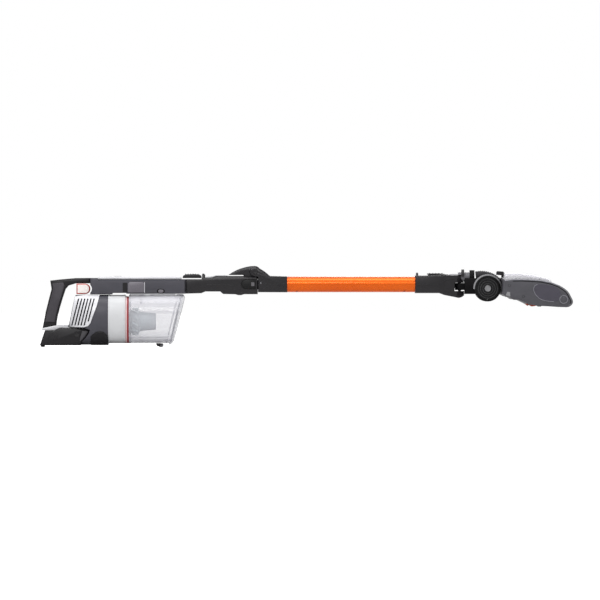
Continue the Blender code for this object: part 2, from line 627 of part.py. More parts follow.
lower_wand = empty("lower_wand", handset, (FOLD_STATION, 0, FOLD_HEIGHT))
HINGE_END_RADIUS = TUBE_RADIUS + 0.4
hinge_low = [(HINGE_SPLIT + 0.4, 141.4), (HINGE_END, TUBE_AXIS - HINGE_END_RADIUS),
             (HINGE_END, TUBE_AXIS + HINGE_END_RADIUS)]
hinge_high = [(594.7, 183.6), (589.5, 188.3), (581.8, 194.8)]
boss = arc(FOLD_STATION, FOLD_HEIGHT, KNUCKLE_RADIUS, 38, 262, 12)
knuckle_slot = [(530.0, 178.0), (573.0, 178.0), (577.0, 183.0), (604.0, 184.5), (604.0, 215.0),
                (530.0, 215.0)]
spigot_radius = TUBE_RADIUS - 2.2
spigot_start = HINGE_END - SPIGOT_LENGTH
add(
    "wand_lower_housing",
    slab(hinge_low + hinge_high + boss + [(HINGE_SPLIT + 0.4, 180.4)], -HALF_HINGE, HALF_HINGE, 4.0, 4.0),
    lower_wand,
    "black_plastic",
    cuts=[
        slab(knuckle_slot, -HALF_KNUCKLE - 0.5, HALF_KNUCKLE + 0.5),
        pin_bore,
        turned((0, 0, HINGE_HOSE_HEIGHT), (1, 0, 0),
               [(550.0, HOSE_RADIUS + 0.7), (590.0, HOSE_RADIUS + 0.7)], 18),
        turned((0, 0, TUBE_AXIS), (1, 0, 0), [(580.0, DUCT_RADIUS), (spigot_start + 5, DUCT_RADIUS)], 18),
        turned((0, 0, TUBE_AXIS), (1, 0, 0),
               [(spigot_start, spigot_radius + GAP), (HINGE_END + 5, spigot_radius + GAP)], 20),
    ],
)
hose_span = [(547.0, HINGE_HOSE_HEIGHT), (563.0, HINGE_HOSE_HEIGHT), (579.0, HINGE_HOSE_HEIGHT)]
add("fold_hose", pipe(hose_span, HOSE_RADIUS, HOSE_RADIUS - 1.6), handset, "hose_rubber")

# ---- tube and neck socket --------------------------------------------------------------------------

INSERT_LENGTH = 30.0
tube_end = SOCKET_START + INSERT_LENGTH
spigot_back = spigot_start + GAP
tube_profile = [(spigot_back, spigot_radius), (TUBE_START, spigot_radius), (TUBE_START, TUBE_RADIUS)]
tube_profile += [(tube_end, TUBE_RADIUS), (tube_end, TUBE_RADIUS - TUBE_WALL),
                 (TUBE_START + 6, TUBE_RADIUS - TUBE_WALL)]
tube_profile += [(TUBE_START + 1, spigot_radius - TUBE_WALL), (spigot_back, spigot_radius - TUBE_WALL)]
add("wand_tube", turned((0, 0, TUBE_AXIS), (1, 0, 0), tube_profile, 28, closed=True), lower_wand,
    "orange_paint")

socket_radius = TUBE_RADIUS + SOCKET_WALL
half_neck = NECK_WIDTH / 2
shoulder = SOCKET_START + SOCKET_LENGTH - 38.0
neck_end = SWIVEL_STATION + 12.2
FORK_LOW, FORK_SLOT_LOW, FORK_SLOT_HIGH = 126.6, 144.5, 166.0
neck_side = [(SOCKET_START, TUBE_AXIS - socket_radius), (shoulder, TUBE_AXIS - socket_radius),
             (shoulder + 13, 134.2)]
neck_side += [(shoulder + 39, 129.0), (SWIVEL_STATION - 2, FORK_LOW), (SWIVEL_STATION + 6, 128.8),
              (neck_end, 133.4)]
neck_side += [(neck_end, 186.0), (SWIVEL_STATION - 21, 185.4), (shoulder + 13, TUBE_AXIS + socket_radius),
              (SOCKET_START, TUBE_AXIS + socket_radius)]
fork_plan = [(SOCKET_START - 2, half_neck + 3.5), (shoulder, half_neck + 3.5), (shoulder + 16, half_neck),
             (SWIVEL_STATION - 7, half_neck)]
fork_plan += [(SWIVEL_STATION - 1, 16.2), (SWIVEL_STATION + 4, 12.6), (SWIVEL_STATION + 9, 7.6),
              (SWIVEL_STATION + 12, 1.5)]
fork_plan += [(x, -y) for x, y in reversed(fork_plan)]
tongue_clear = [(SWIVEL_STATION - 13.2, -40), (SWIVEL_STATION - 13.2, 40), (SWIVEL_STATION + 30, 40),
                (SWIVEL_STATION + 30, -40)]
SWIVEL_PIN_RADIUS = 4.0
rim_top = TUBE_AXIS + socket_radius
rim_catch = [(SOCKET_START + 2.0, rim_top - 2), (SOCKET_START + 9.0, rim_top - 2),
             (SOCKET_START + 8.0, 192.0), (SOCKET_START + 3.0, 192.0)]
add(
    "neck_socket",
    slab(neck_side, -half_neck - 5, half_neck + 5, 6.0, 6.0),
    lower_wand,
    "black_plastic",
    joins=[slab(rim_catch, -9, 9)],
    keeps=[slab(fork_plan, 100, 220, upright=True)],
    cuts=[
        slab(tongue_clear, FORK_SLOT_LOW, FORK_SLOT_HIGH, upright=True),
        turned((0, 0, TUBE_AXIS), (1, 0, 0),
               [(SOCKET_START - 5, TUBE_RADIUS + GAP), (tube_end + 1, TUBE_RADIUS + GAP)], 24),
        turned((tube_end, 0, TUBE_AXIS), (SWIVEL_STATION - 18 - tube_end, 0, HOSE_AXIS - TUBE_AXIS),
               [(-8, 13.4), (70, 13.4)], 18),
        turned((0, 0, HOSE_AXIS), (1, 0, 0),
               [(SWIVEL_STATION - 22, HOSE_RADIUS + 0.6), (SWIVEL_STATION + 20, HOSE_RADIUS + 0.6)], 18),
        turned((SWIVEL_STATION, 0, 0), (0, 0, 1),
               [(FORK_LOW + 3, SWIVEL_PIN_RADIUS + FIT), (FORK_SLOT_HIGH + 1.2, SWIVEL_PIN_RADIUS + FIT)],
               14),
    ],
)
add(
    "swivel_pin",
    turned((SWIVEL_STATION, 0, 0), (0, 0, 1),
           [(FORK_LOW + 3.4, SWIVEL_PIN_RADIUS), (FORK_SLOT_HIGH + 0.8, SWIVEL_PIN_RADIUS)], 14),
    lower_wand,
    "steel",
)
head_button_body = empty("head_release_button", lower_wand, (SOCKET_START + 50, 0, 188))
button_low = TUBE_AXIS + socket_radius + BUTTON_TRAVEL + GAP
head_button = [(SOCKET_START + 31.0, button_low), (SOCKET_START + 31.5, 190.0),
               (SOCKET_START + 60.0, 190.4), (SOCKET_START + 76.0, 189.0),
               (SOCKET_START + 78.0, button_low + 0.6)]
add("head_release_button", slab(head_button, -10, 10, 1.0, 1.0), head_button_body, "black_plastic")

# ---- neck: swivels on the wand and carries the wheels' axle ----------------------------------------

neck = empty("neck", lower_wand, (SWIVEL_STATION, 0, 156))
ax, az = AXLE_STATION, AXLE_HEIGHT
yoke_back = SWIVEL_STATION + 12.8
YOKE_LOW, YOKE_HIGH = 136.8, 178.0
BOSS_RADIUS = 15.0
yoke_side = [(yoke_back, YOKE_LOW), (ax - 12, YOKE_LOW)] + arc(ax, az, BOSS_RADIUS, -100, 100, 10)
yoke_side += [(ax - 20, YOKE_HIGH - 2), (ax - 32, YOKE_HIGH), (yoke_back, YOKE_HIGH)]
CUFF_RADIUS = 17.7
cuff_back, cuff_front = SWIVEL_STATION + 26.0, SWIVEL_STATION + 38.6
tongue = arc(SWIVEL_STATION, 0, 12.0, 60, 300, 10) + [(yoke_back + 4, -10.4), (yoke_back + 4, 10.4)]
axle_hole = rod_y(ax, az, AXLE_RADIUS + FIT, -half_neck - 9, half_neck + 9)
add(
    "neck_yoke",
    slab(yoke_side, -half_neck, half_neck, 4.0, 4.0),
    neck,
    "black_plastic",
    joins=[
        slab(tongue, 147.0, FORK_SLOT_HIGH - 0.5, upright=True),
        turned((0, 0, HOSE_AXIS), (1, 0, 0), [(cuff_back, CUFF_RADIUS), (cuff_front, CUFF_RADIUS)], 20),
    ],
    cuts=[
        turned((0, 0, HOSE_AXIS), (1, 0, 0),
               [(yoke_back - 6, HOSE_RADIUS + 0.6), (ax - 12, HOSE_RADIUS + 0.6)], 18),
        turned((SWIVEL_STATION, 0, 0), (0, 0, 1),
               [(140, SWIVEL_PIN_RADIUS + FIT), (172, SWIVEL_PIN_RADIUS + FIT)], 14),
        axle_hole,
    ],
)
swivel_span = [(SWIVEL_STATION - 4, HOSE_AXIS), (SWIVEL_STATION + 13, HOSE_AXIS),
               (cuff_front - 7.0, HOSE_AXIS)]
add("swivel_hose", pipe(swivel_span, HOSE_RADIUS, HOSE_RADIUS - 1.6), neck, "hose_rubber")

# ---- floor head, in its own frame: the axle at 0, x forward, z up ----------------------------------

head = empty("head", neck, (ax, 0, az))
head["frame"].rotation_euler.y = radians(HEAD_DROOP)
head["origin"] = Vector((0, 0, 0))
HALF_HEAD = HEAD_WIDTH / 2
half_inside = HALF_HEAD - SIDE_CAP - GAP
GUARD_IN = half_neck + 3.0
WHEEL_IN = GUARD_IN + GUARD_WIDTH + 2.0
WHEEL_OUT = WHEEL_IN + WHEEL_WIDTH


def head_axis(name, x, y, z):
    return empty(name, head, (x, y, z))


HEAD_HOSE_Z = 10.5
pitch_path = [(-32.5, 30.1), (-17, 32.6), (-2, 31.6), (12, 27.0), (22, 20.5), (31, 13.5), (38, 10.8),
              (48, HEAD_HOSE_Z)]
hose_mouth = [(28, HOSE_RADIUS + 8.7), (39, HOSE_RADIUS + 1.4), (64, HOSE_RADIUS + 0.7)]
hose_hole = turned((0, 0, HEAD_HOSE_Z), (1, 0, 0), hose_mouth, 18)
add("pitch_hose", pipe(pitch_path, HOSE_RADIUS, HOSE_RADIUS - 1.6), head, "hose_rubber")
axle_end = WHEEL_OUT + 1.0
add("wheel_axle", rod_y(0, 0, AXLE_RADIUS, -axle_end, axle_end), head, "steel")

guard_outer = arc(0, 0, WHEEL_RADIUS + 3.6, 20, 186, 14)
guard = guard_outer + arc(0, 0, 12.0, 200, 270, 4) + [(36.0, -11.0), (36.0, 10.0)]


def wheel_guard(name, side):
    plate = slab(guard, side * GUARD_IN, side * (GUARD_IN + GUARD_WIDTH))
    hole = rod_y(0, 0, AXLE_RADIUS + FIT, side * (GUARD_IN - 3), side * (GUARD_IN + GUARD_WIDTH + 3))
    add(name, plate, head, "pale_grey_plastic", cuts=[hole])


def wheel(name, side):
    body = head_axis(name, 0, 0, 0)
    rim = WHEEL_RADIUS - TYRE_DEPTH
    bore = AXLE_RADIUS + FIT
    face = WHEEL_OUT - WHEEL_IN
    profile = [(0, bore), (0, rim), (face, rim), (face, rim - 3), (face - 2.5, rim - 5), (face - 2.5, 11),
               (face, 9), (face, bore)]
    add(name, turned((0, side * WHEEL_IN, 0), (0, side, 0), profile, 24, closed=True), body,
        "black_plastic")
    ring = [(0, rim + GAP), (0, WHEEL_RADIUS - 2), (2, WHEEL_RADIUS), (face - 2, WHEEL_RADIUS),
            (face, WHEEL_RADIUS - 2), (face, rim + GAP)]
    tyre = turned((0, side * WHEEL_IN, 0), (0, side, 0), ring, 28, closed=True)
    add(name.replace("wheel", "tyre"), tyre, body, "tyre_rubber")


both_sides("wheel_guard", wheel_guard)
both_sides("wheel", wheel)

BAY_CLEAR = 2.6
bay_half = half_inside - 13.7
bay_radius = BRUSH_RADIUS + BAY_CLEAR
chassis_front = ROLLER_X - ROLLER_RADIUS - 3.6
CHASSIS_TOP = 14.0
sole = [(36.5, -11.5), (45.3, -15.9), (55.7, -17.7), (63.8, -22.3), (81.9, -23.4), (93.0, -27.7),
        (106.1, -33.0), (128.0, -33.6)]
chassis = sole + [(162.9, -33.0), (chassis_front, -33.0), (chassis_front, CHASSIS_TOP), (36.5, CHASSIS_TOP)]
MOTOR_X, MOTOR_Z, MOTOR_RADIUS = 72.0, -4.0, 13.0
belt_in = bay_half + 5.0
belt_out = half_inside - 1.0
PULLEY_RADIUS = 6.0


def belt_loop(outside):
    """The belt's run round the motor pulley and the brush pulley."""
    angle = 90 + (BRUSH_Z - MOTOR_Z) / (BRUSH_X - MOTOR_X) * 180 / pi
    back = arc(MOTOR_X, MOTOR_Z, PULLEY_RADIUS + outside, angle, angle + 180, 8)
    return back + arc(BRUSH_X, BRUSH_Z, PULLEY_RADIUS + outside, angle - 180, angle, 8)


def belt_ring(y, outside):
    return [(x, y, z) for x, z in belt_loop(outside)]


add(
    "head_chassis",
    slab(chassis, -half_inside, half_inside),
    head,
    "dark_plastic",
    cuts=[
        rod_y(BRUSH_X, BRUSH_Z, bay_radius, -bay_half, bay_half, 24),
        rod_y(BRUSH_X, BRUSH_Z, 5.0, -bay_half - 3.5, bay_half + 20, 14),
        hose_hole,
        turned((0, 0, -2.0), (1, 0, 0), [(52, 10.0), (110, 10.0)], 16),
        rod_y(MOTOR_X, MOTOR_Z, MOTOR_RADIUS + 0.6, 22.0, bay_half + 2, 20),
        rod_y(MOTOR_X, MOTOR_Z, PULLEY_RADIUS + 1, 30.0, half_inside + 5, 14),
        slab(belt_loop(4.2), belt_in - 0.8, half_inside + 5),
    ],
)
add(
    "roller_motor",
    turned((MOTOR_X, 24.0, MOTOR_Z), (0, 1, 0),
           [(0, 11.0), (2, MOTOR_RADIUS), (62, MOTOR_RADIUS), (64, 10.0), (64, 3.0),
            (belt_out - 24.0, 3.0)], 20),
    head,
    "steel",
)
add("drive_belt", loft([belt_ring(belt_in, 2.2), belt_ring(belt_out, 2.2), belt_ring(belt_out, 0.5),
                        belt_ring(belt_in, 0.5)], closed=True), head, "tyre_rubber")

brush_body = head_axis("brush_roll", BRUSH_X, 0, BRUSH_Z)
brush = [(-bay_half - 3.2, 4.6), (-bay_half + 1, 4.6), (-bay_half + 1, BRUSH_RADIUS),
         (bay_half - 1, BRUSH_RADIUS), (bay_half - 1, 4.6), (belt_in - 0.4, 4.6),
         (belt_in - 0.4, PULLEY_RADIUS), (belt_out, PULLEY_RADIUS)]
add("brush_roll", turned((BRUSH_X, 0, BRUSH_Z), (0, 1, 0), brush, 20), brush_body, "brush_bristle")
roller_body = head_axis("soft_roller", ROLLER_X, 0, ROLLER_Z)
ROLLER_PIN = 4.5
roller_half = half_inside - 1.0
roller = [(-roller_half - 5, ROLLER_PIN), (-roller_half, ROLLER_PIN), (-roller_half, ROLLER_RADIUS),
          (roller_half, ROLLER_RADIUS), (roller_half, ROLLER_PIN), (roller_half + 5, ROLLER_PIN)]
add("soft_roller", turned((ROLLER_X, 0, ROLLER_Z), (0, 1, 0), roller, 24), roller_body, "roller_pile")

top_line = [(39.5, 25.3), (59.8, 29.2), (83.0, 31.2), (106.3, 32.0), (132.1, 32.2), (158.1, 29.0),
            (179.4, 22.9), (192.8, 16.1), (201.0, 10.4)]
over_roller = arc(ROLLER_X, ROLLER_Z, ROLLER_RADIUS + 1.6, 74, 112, 4) + [(chassis_front + 0.6, 6.5)]
cover = [(31.5, 30.6)] + top_line + over_roller + [(chassis_front + 0.6, CHASSIS_TOP + GAP),
                                                   (36.5, CHASSIS_TOP + GAP)]
cover_hollow = [(66.0, 10.0), (66.0, 26.6), (104.0, 28.6), (130.0, 28.8), (156.0, 25.6), (165.0, 22.0),
                (165.0, 10.0)]
add(
    "head_cover",
    slab(cover, -half_inside, half_inside),
    head,
    "head_plastic",
    cuts=[hose_hole, slab(cover_hollow, -half_inside + 12, half_inside - 12)],
)

half_window = WINDOW_WIDTH / 2
crown = [(152.4, 38.9), (137.0, 42.4), (120.9, 44.6), (98.0, 46.6), (76.5, 47.3), (56.0, 46.4),
         (39.0, 44.3)]
seat = [(39.5, 26.0)] + [(x, z + GAP) for x, z in top_line[1:6]] + [(162.0, 29.4)]
inner_seat = [(41.6, 20.0), (158.0, 20.0), (156.0, 31.0), (150.4, 36.8), (136.0, 40.2), (119.9, 42.3),
              (97.6, 44.4), (76.5, 45.1), (57.0, 44.2), (41.6, 42.2)]
add(
    "head_window",
    slab(seat + crown, -half_window, half_window, 5.0, 5.0),
    head,
    "clear_plastic",
    cuts=[slab(inner_seat, -half_window + WINDOW_WALL, half_window - WINDOW_WALL)],
)
latch_body = head_axis("window_latch", 28, -57, 40)
latch = [(18.4, 36.8), (32.0, 36.8), (32.0, 31.2), (36.6, 31.2), (37.6, 36.8), (37.6, 44.6), (35.6, 46.6),
         (20.4, 46.6), (18.4, 44.6)]
add("window_latch", slab(latch, -72, -42, 1.2, 1.2), latch_body, "black_plastic")

nose_line = [(207.5, 3.0), (212.7, -5.6), (216.6, -12.0), (NOSE, -16.8), (218.0, -21.6), (215.5, -26.0),
             (209.4, -31.2), (202.0, -32.9)]
cap_sole = [(188.9, -33.3), (162.9, -33.5), (137.3, -34.5), (125.6, -34.4), (106.1, -33.2), (95.3, -27.7),
            (81.9, -23.4), (63.8, -22.3), (55.7, -17.7), (45.3, -15.9), (34.6, -11.6)]
side_line = [(31.3, 30.9)] + top_line + nose_line + cap_sole + [(36.8, 0.0), (36.4, 18.0)]


def side_cap(name, side):
    cap = slab(side_line, side * (half_inside + GAP), side * HALF_HEAD, 0, 3.5)
    socket = rod_y(ROLLER_X, ROLLER_Z, ROLLER_PIN + FIT, side * (half_inside - 2),
                   side * (half_inside + 5.0), 16)
    add(name, cap, head, "head_plastic", cuts=[socket])


both_sides("side_cap", side_cap)
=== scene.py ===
"""Looks of a cordless stick vacuum laid out straight: handset, folding wand and powered floor head.

Each section is one piece or group of pieces, in the order in which the vacuum goes together. Lengths in
the sections are millimetres. Along the handset and wand they count from the battery's heel, as (along,
across, up); in the floor head they count from the wheels' axle, with the head's own slight droop.
"""

from math import cos, pi, radians, sin

import bmesh
import bpy
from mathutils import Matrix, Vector
from mathutils.bvhtree import BVHTree


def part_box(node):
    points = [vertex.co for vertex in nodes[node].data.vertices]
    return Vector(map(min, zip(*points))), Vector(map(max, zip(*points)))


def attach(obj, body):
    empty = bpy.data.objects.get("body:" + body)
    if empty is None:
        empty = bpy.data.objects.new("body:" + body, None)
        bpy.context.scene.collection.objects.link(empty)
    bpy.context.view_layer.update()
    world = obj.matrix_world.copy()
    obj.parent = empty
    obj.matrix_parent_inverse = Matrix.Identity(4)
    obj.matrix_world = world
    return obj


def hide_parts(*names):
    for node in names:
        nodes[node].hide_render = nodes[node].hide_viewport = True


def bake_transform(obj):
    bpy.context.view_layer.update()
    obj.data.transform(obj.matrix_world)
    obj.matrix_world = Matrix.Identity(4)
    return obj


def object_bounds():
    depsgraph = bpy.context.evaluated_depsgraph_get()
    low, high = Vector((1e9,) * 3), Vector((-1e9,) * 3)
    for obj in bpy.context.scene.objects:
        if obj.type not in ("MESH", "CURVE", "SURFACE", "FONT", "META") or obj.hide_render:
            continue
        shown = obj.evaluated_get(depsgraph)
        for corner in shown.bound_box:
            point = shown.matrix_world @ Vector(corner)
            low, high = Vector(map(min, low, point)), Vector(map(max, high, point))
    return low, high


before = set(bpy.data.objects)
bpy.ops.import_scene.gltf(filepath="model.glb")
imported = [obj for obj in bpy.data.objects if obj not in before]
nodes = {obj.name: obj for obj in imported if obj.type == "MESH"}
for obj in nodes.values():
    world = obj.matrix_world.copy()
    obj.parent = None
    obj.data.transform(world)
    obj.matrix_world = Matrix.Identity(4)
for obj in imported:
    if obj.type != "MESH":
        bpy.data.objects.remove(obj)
cad_low, cad_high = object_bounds()
MM = 0.001

# ---- The view ----------------------------------------------------------------------------------------
# A level look straight across the vacuum from its right-hand side, from far enough off that near and
# far sides come out almost the same size.

VIEW_WIDTH = 1.548  # metres across the frame, on the plane of the near sides
VIEW_FAR = 16.0
NEAR_SIDES = -0.05
FRAME_MIDDLE = (0.6721, 0.1213)  # from the heel, and above the floor
lens = bpy.data.cameras.new("side_camera")
lens.sensor_width = 36.0
lens.lens = lens.sensor_width * VIEW_FAR / VIEW_WIDTH
lens.clip_end = 200.0
camera = bpy.data.objects.new("side_camera", lens)
camera.location = (cad_low.x + FRAME_MIDDLE[0], NEAR_SIDES - VIEW_FAR, FRAME_MIDDLE[1])
camera.rotation_euler = (radians(90), 0, 0)
bpy.context.scene.collection.objects.link(camera)
bpy.context.scene.camera = camera

# ---- The studio --------------------------------------------------------------------------------------
# A matt white floor under the two feet, white all round, and a half-bright sky. A long soft box
# overhead and two lower ones give the glossy mouldings their highlights and leave the undersides dark.


def node(tree, kind, links=(), **settings):
    """Adds a shader node, sets its properties, then sets or joins its inputs, {input: value or socket}."""
    made = tree.nodes.new("ShaderNode" + kind)
    for key, value in settings.items():
        setattr(made, key, value)
    for key, value in dict(links).items():
        if isinstance(value, bpy.types.NodeSocket):
            tree.links.new(value, made.inputs[key])
        else:
            made.inputs[key].default_value = value
    return made


SKY_LIGHT = 0.62
bpy.context.scene.view_settings.view_transform = "Standard"
sky = bpy.data.worlds.new("studio_sky")
sky.use_nodes = True
seen = node(sky.node_tree, "LightPath").outputs["Is Camera Ray"]
glow = node(sky.node_tree, "MapRange", {"Value": seen, "To Min": SKY_LIGHT, "To Max": 1.0})
sky.node_tree.nodes["Background"].inputs["Color"].default_value = (1.0, 1.0, 1.0, 1.0)
sky.node_tree.links.new(glow.outputs["Result"], sky.node_tree.nodes["Background"].inputs["Strength"])
bpy.context.scene.world = sky

FLOOR_REACH = 40.0
FLOOR_LIFT = 0.9
corners = [(-1, -1), (1, -1), (1, 1), (-1, 1)]
floor_mesh = bpy.data.meshes.new("floor")
floor_mesh.from_pydata([(x * FLOOR_REACH, y * FLOOR_REACH, -0.0004) for x, y in corners], [],
                       [(0, 1, 2, 3)])
floor = bpy.data.objects.new("floor", floor_mesh)
bpy.context.scene.collection.objects.link(floor)
floor_paint = bpy.data.materials.new("floor_paint")
floor_paint.use_nodes = True
paint = floor_paint.node_tree.nodes["Principled BSDF"]
paint.inputs["Base Color"].default_value = (0.58, 0.58, 0.58, 1.0)
paint.inputs["Roughness"].default_value = 0.95
paint.inputs["Emission Color"].default_value = (1.0, 1.0, 1.0, 1.0)
seen = node(floor_paint.node_tree, "LightPath").outputs["Is Camera Ray"]
lift = node(floor_paint.node_tree, "MapRange", {"Value": seen, "To Max": FLOOR_LIFT})
floor_paint.node_tree.links.new(lift.outputs["Result"], paint.inputs["Emission Strength"])
floor_mesh.materials.append(floor_paint)

for name, place, target, size, power in (
    ("overhead_box", (0.0, -0.25, 1.5), (0, 0, 0.1), (2.4, 0.8), 18.0),
    ("front_box", (-0.7, -2.4, 1.5), (-0.1, 0, 0.1), (1.8, 0.8), 22.0),
    ("back_box", (0.8, 2.2, 1.3), (0.1, 0, 0.1), (1.8, 0.8), 18.0),
):
    light = bpy.data.lights.new(name, "AREA")
    light.shape = "RECTANGLE"
    light.size, light.size_y = size
    light.energy = power
    lamp = bpy.data.objects.new(name, light)
    lamp.location = place
    lamp.rotation_euler = (Vector(target) - Vector(place)).to_track_quat("-Z", "Y").to_euler()
    bpy.context.scene.collection.objects.link(lamp)

# ---- Handle and grip ---------------------------------------------------------------------------------
# Two black glass-filled shells, screwed together along the middle, make the D-shaped handle. A pad of
# soft rubber with a fine pimpled grain is moulded into each side, and a bright ledge closes its foot.


def tint(colour):
    """Display values 0-255 as the linear colour that a shader takes."""
    return (*[((c / 255 + 0.055) / 1.055) ** 2.4 for c in colour], 1.0)


def mix(tree, factor, one, other):
    """Colour one where factor is 0 and the other where it is 1."""
    made = node(tree, "Mix", {0: factor, 6: one, 7: other}, data_type="RGBA")
    return made.outputs[2]


def effect(name, inputs, outputs):
    """An empty shader group with float inputs {name: value} and float outputs."""
    group = bpy.data.node_groups.new(name, "ShaderNodeTree")
    for label, value in inputs.items():
        made = group.interface.new_socket(label, in_out="INPUT", socket_type="NodeSocketFloat")
        made.default_value = value
    for label in outputs:
        group.interface.new_socket(label, in_out="OUTPUT", socket_type="NodeSocketFloat")
    return group, group.nodes.new("NodeGroupInput").outputs, group.nodes.new("NodeGroupOutput").inputs


def place_of(tree):
    """Surface position in the piece's own space, the same at every pose."""
    return node(tree, "TexCoord").outputs["Object"]


# Fine spark-eroded tool texture, and broad patches where the moulding cooled unevenly.
GRAIN, given, result = effect("moulded_grain", {"Fineness": 1800.0, "Patches": 22.0}, ["Height", "Patch"])
place = place_of(GRAIN)
fine = node(GRAIN, "TexNoise", {"Vector": place, "Scale": given["Fineness"], "Detail": 1.0})
broad = node(GRAIN, "TexNoise", {"Vector": place, "Scale": given["Patches"], "Detail": 4.0})
spread = node(GRAIN, "MapRange", {"Value": broad.outputs["Fac"], "From Min": 0.35, "From Max": 0.65})
GRAIN.links.new(fine.outputs["Fac"], result["Height"])
GRAIN.links.new(spread.outputs["Result"], result["Patch"])

# Corners rubbed by hands, walls and furniture, broken up into scuffs.
WEAR, given, result = effect("edge_wear", {"Reach": 0.0011, "Scuffs": 240.0}, ["Edge"])
rounded = node(WEAR, "Bevel", {"Radius": given["Reach"]}, samples=3)
plain = node(WEAR, "NewGeometry").outputs["Normal"]
turn = node(WEAR, "VectorMath", {0: rounded.outputs["Normal"], 1: plain}, operation="DOT_PRODUCT")
corner = node(WEAR, "MapRange", {"Value": turn.outputs["Value"], "From Min": 0.99, "From Max": 0.88})
scuff = node(WEAR, "TexNoise", {"Vector": place_of(WEAR), "Scale": given["Scuffs"], "Detail": 3.0})
gaps = node(WEAR, "MapRange", {"Value": scuff.outputs["Fac"], "From Min": 0.4, "From Max": 0.58})
both = node(WEAR, "Math", {0: corner.outputs["Result"], 1: gaps.outputs["Result"]}, operation="MULTIPLY")
WEAR.links.new(both.outputs[0], result["Edge"])

# Pimples or perforations in an even grid, as a mask.
DOTS, given, result = effect("dot_grid", {"Per Metre": 400.0, "Share": 0.35}, ["Dot"])
cells = node(DOTS, "TexVoronoi", {"Vector": place_of(DOTS), "Scale": given["Per Metre"], "Randomness": 0.0})
over = node(DOTS, "Math", {0: given["Share"], 1: cells.outputs["Distance"]}, operation="SUBTRACT")
cut = node(DOTS, "MapRange", {"Value": over.outputs[0], "From Min": 0.0, "From Max": 0.12})
DOTS.links.new(cut.outputs["Result"], result["Dot"])


def new_material(name):
    material = bpy.data.materials.new(name)
    material.use_nodes = True
    return material, material.node_tree, material.node_tree.nodes["Principled BSDF"]


def moulding(name, colour, roughness, uneven=0.14, wear=0.3, fineness=1800.0, depth=0.00003, coat=0.0,
             shine=0.5, metal=0.0, dots=None):
    """Moulded plastic, lacquer or rubber: grained, a little uneven in colour and gloss, paler where rubbed.

    dots is (dots per metre, share of each cell, height) for a pimpled surface.
    """
    material, tree, shader = new_material(name)
    base = tint(colour)
    texture = node(tree, "Group", {}, node_tree=GRAIN)
    texture.inputs["Fineness"].default_value = fineness
    rubbed = node(tree, "Group", {}, node_tree=WEAR)
    deeper = (*[c * (1 - uneven) for c in base[:3]], 1.0)
    paler = (*[min(1.0, c * 1.3 + 0.05) for c in base[:3]], 1.0)
    ground = mix(tree, texture.outputs["Patch"], base, deeper)
    amount = node(tree, "Math", {0: rubbed.outputs["Edge"], 1: wear}, operation="MULTIPLY").outputs[0]
    tree.links.new(mix(tree, amount, ground, paler), shader.inputs["Base Color"])
    spans = {"Value": texture.outputs["Patch"], "To Min": roughness, "To Max": min(1.0, roughness * 1.3)}
    tree.links.new(node(tree, "MapRange", spans).outputs["Result"], shader.inputs["Roughness"])
    height = texture.outputs["Height"]
    relief = node(tree, "Bump", {"Height": height, "Distance": depth, "Strength": 1.0}).outputs["Normal"]
    if dots:
        grid = node(tree, "Group", {}, node_tree=DOTS)
        grid.inputs["Per Metre"].default_value, grid.inputs["Share"].default_value = dots[:2]
        raised = {"Height": grid.outputs["Dot"], "Distance": dots[2], "Normal": relief}
        relief = node(tree, "Bump", raised).outputs["Normal"]
    tree.links.new(relief, shader.inputs["Normal"])
    shader.inputs["Coat Weight"].default_value = coat
    shader.inputs["Coat Roughness"].default_value = 0.12
    shader.inputs["Specular IOR Level"].default_value = shine
    shader.inputs["Metallic"].default_value = metal
    return material


def finish(names, material, bevel=0.0, angle=32):
    """Gives CAD nodes a material, smooth curves and, with a bevel in mm, softened edges."""
    for name in names.split():
        piece = nodes[name]
        piece.data.materials.clear()
        piece.data.materials.append(material)
        for label in ("custom_normal", "sharp_edge", "sharp_face"):
            if label in piece.data.attributes:
                piece.data.attributes.remove(piece.data.attributes[label])
        piece.data.shade_smooth()
        piece.modifiers.new("join_corners", "WELD").merge_threshold = 0.00001
        if bevel:
            soften(piece, bevel, angle)
        piece.modifiers.new("crisp_edges", "EDGE_SPLIT").split_angle = radians(angle)


def soften(piece, width, angle=32, segments=2):
    edge = piece.modifiers.new("soft_edges", "BEVEL")
    edge.width = width * MM
    edge.segments = segments
    edge.limit_method = "ANGLE"
    edge.angle_limit = radians(angle)


def along(s, y, h):
    """A point of the handset or wand: s from the heel, y to the left, h above the floor."""
    return Vector((cad_low.x + s * MM, y * MM, h * MM))


def solid(name, points, faces, material, body, slot, spot=along, angle=35):
    """A piece from points in mm, smooth over its curves, riding on a body; body None leaves it free."""
    mesh = bpy.data.meshes.new(name)
    mesh.from_pydata([spot(*p) for p in points], [], faces)
    bm = bmesh.new()
    bm.from_mesh(mesh)
    bmesh.ops.recalc_face_normals(bm, faces=bm.faces)
    bm.to_mesh(mesh)
    mesh.materials.append(material)
    mesh.shade_smooth()
    mesh.set_sharp_from_angle(angle=radians(angle))
    made = bpy.data.objects.new(name, mesh)
    bpy.context.scene.collection.objects.link(made)
    if body:
        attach(made, body)
    return made


def skin(rings, loop=False):
    """Points and faces of rings of equal length joined in turn, capped at both ends unless they loop."""
    count = len(rings[0])
    faces = []
    for r in range(len(rings) - (not loop)):
        one, two = r * count, (r + 1) % len(rings) * count
        faces += [(one + i, one + (i + 1) % count, two + (i + 1) % count, two + i) for i in range(count)]
    if not loop:
        last = (len(rings) - 1) * count
        faces += [tuple(range(count)), tuple(range(last, last + count))]
    return [p for ring in rings for p in ring], faces


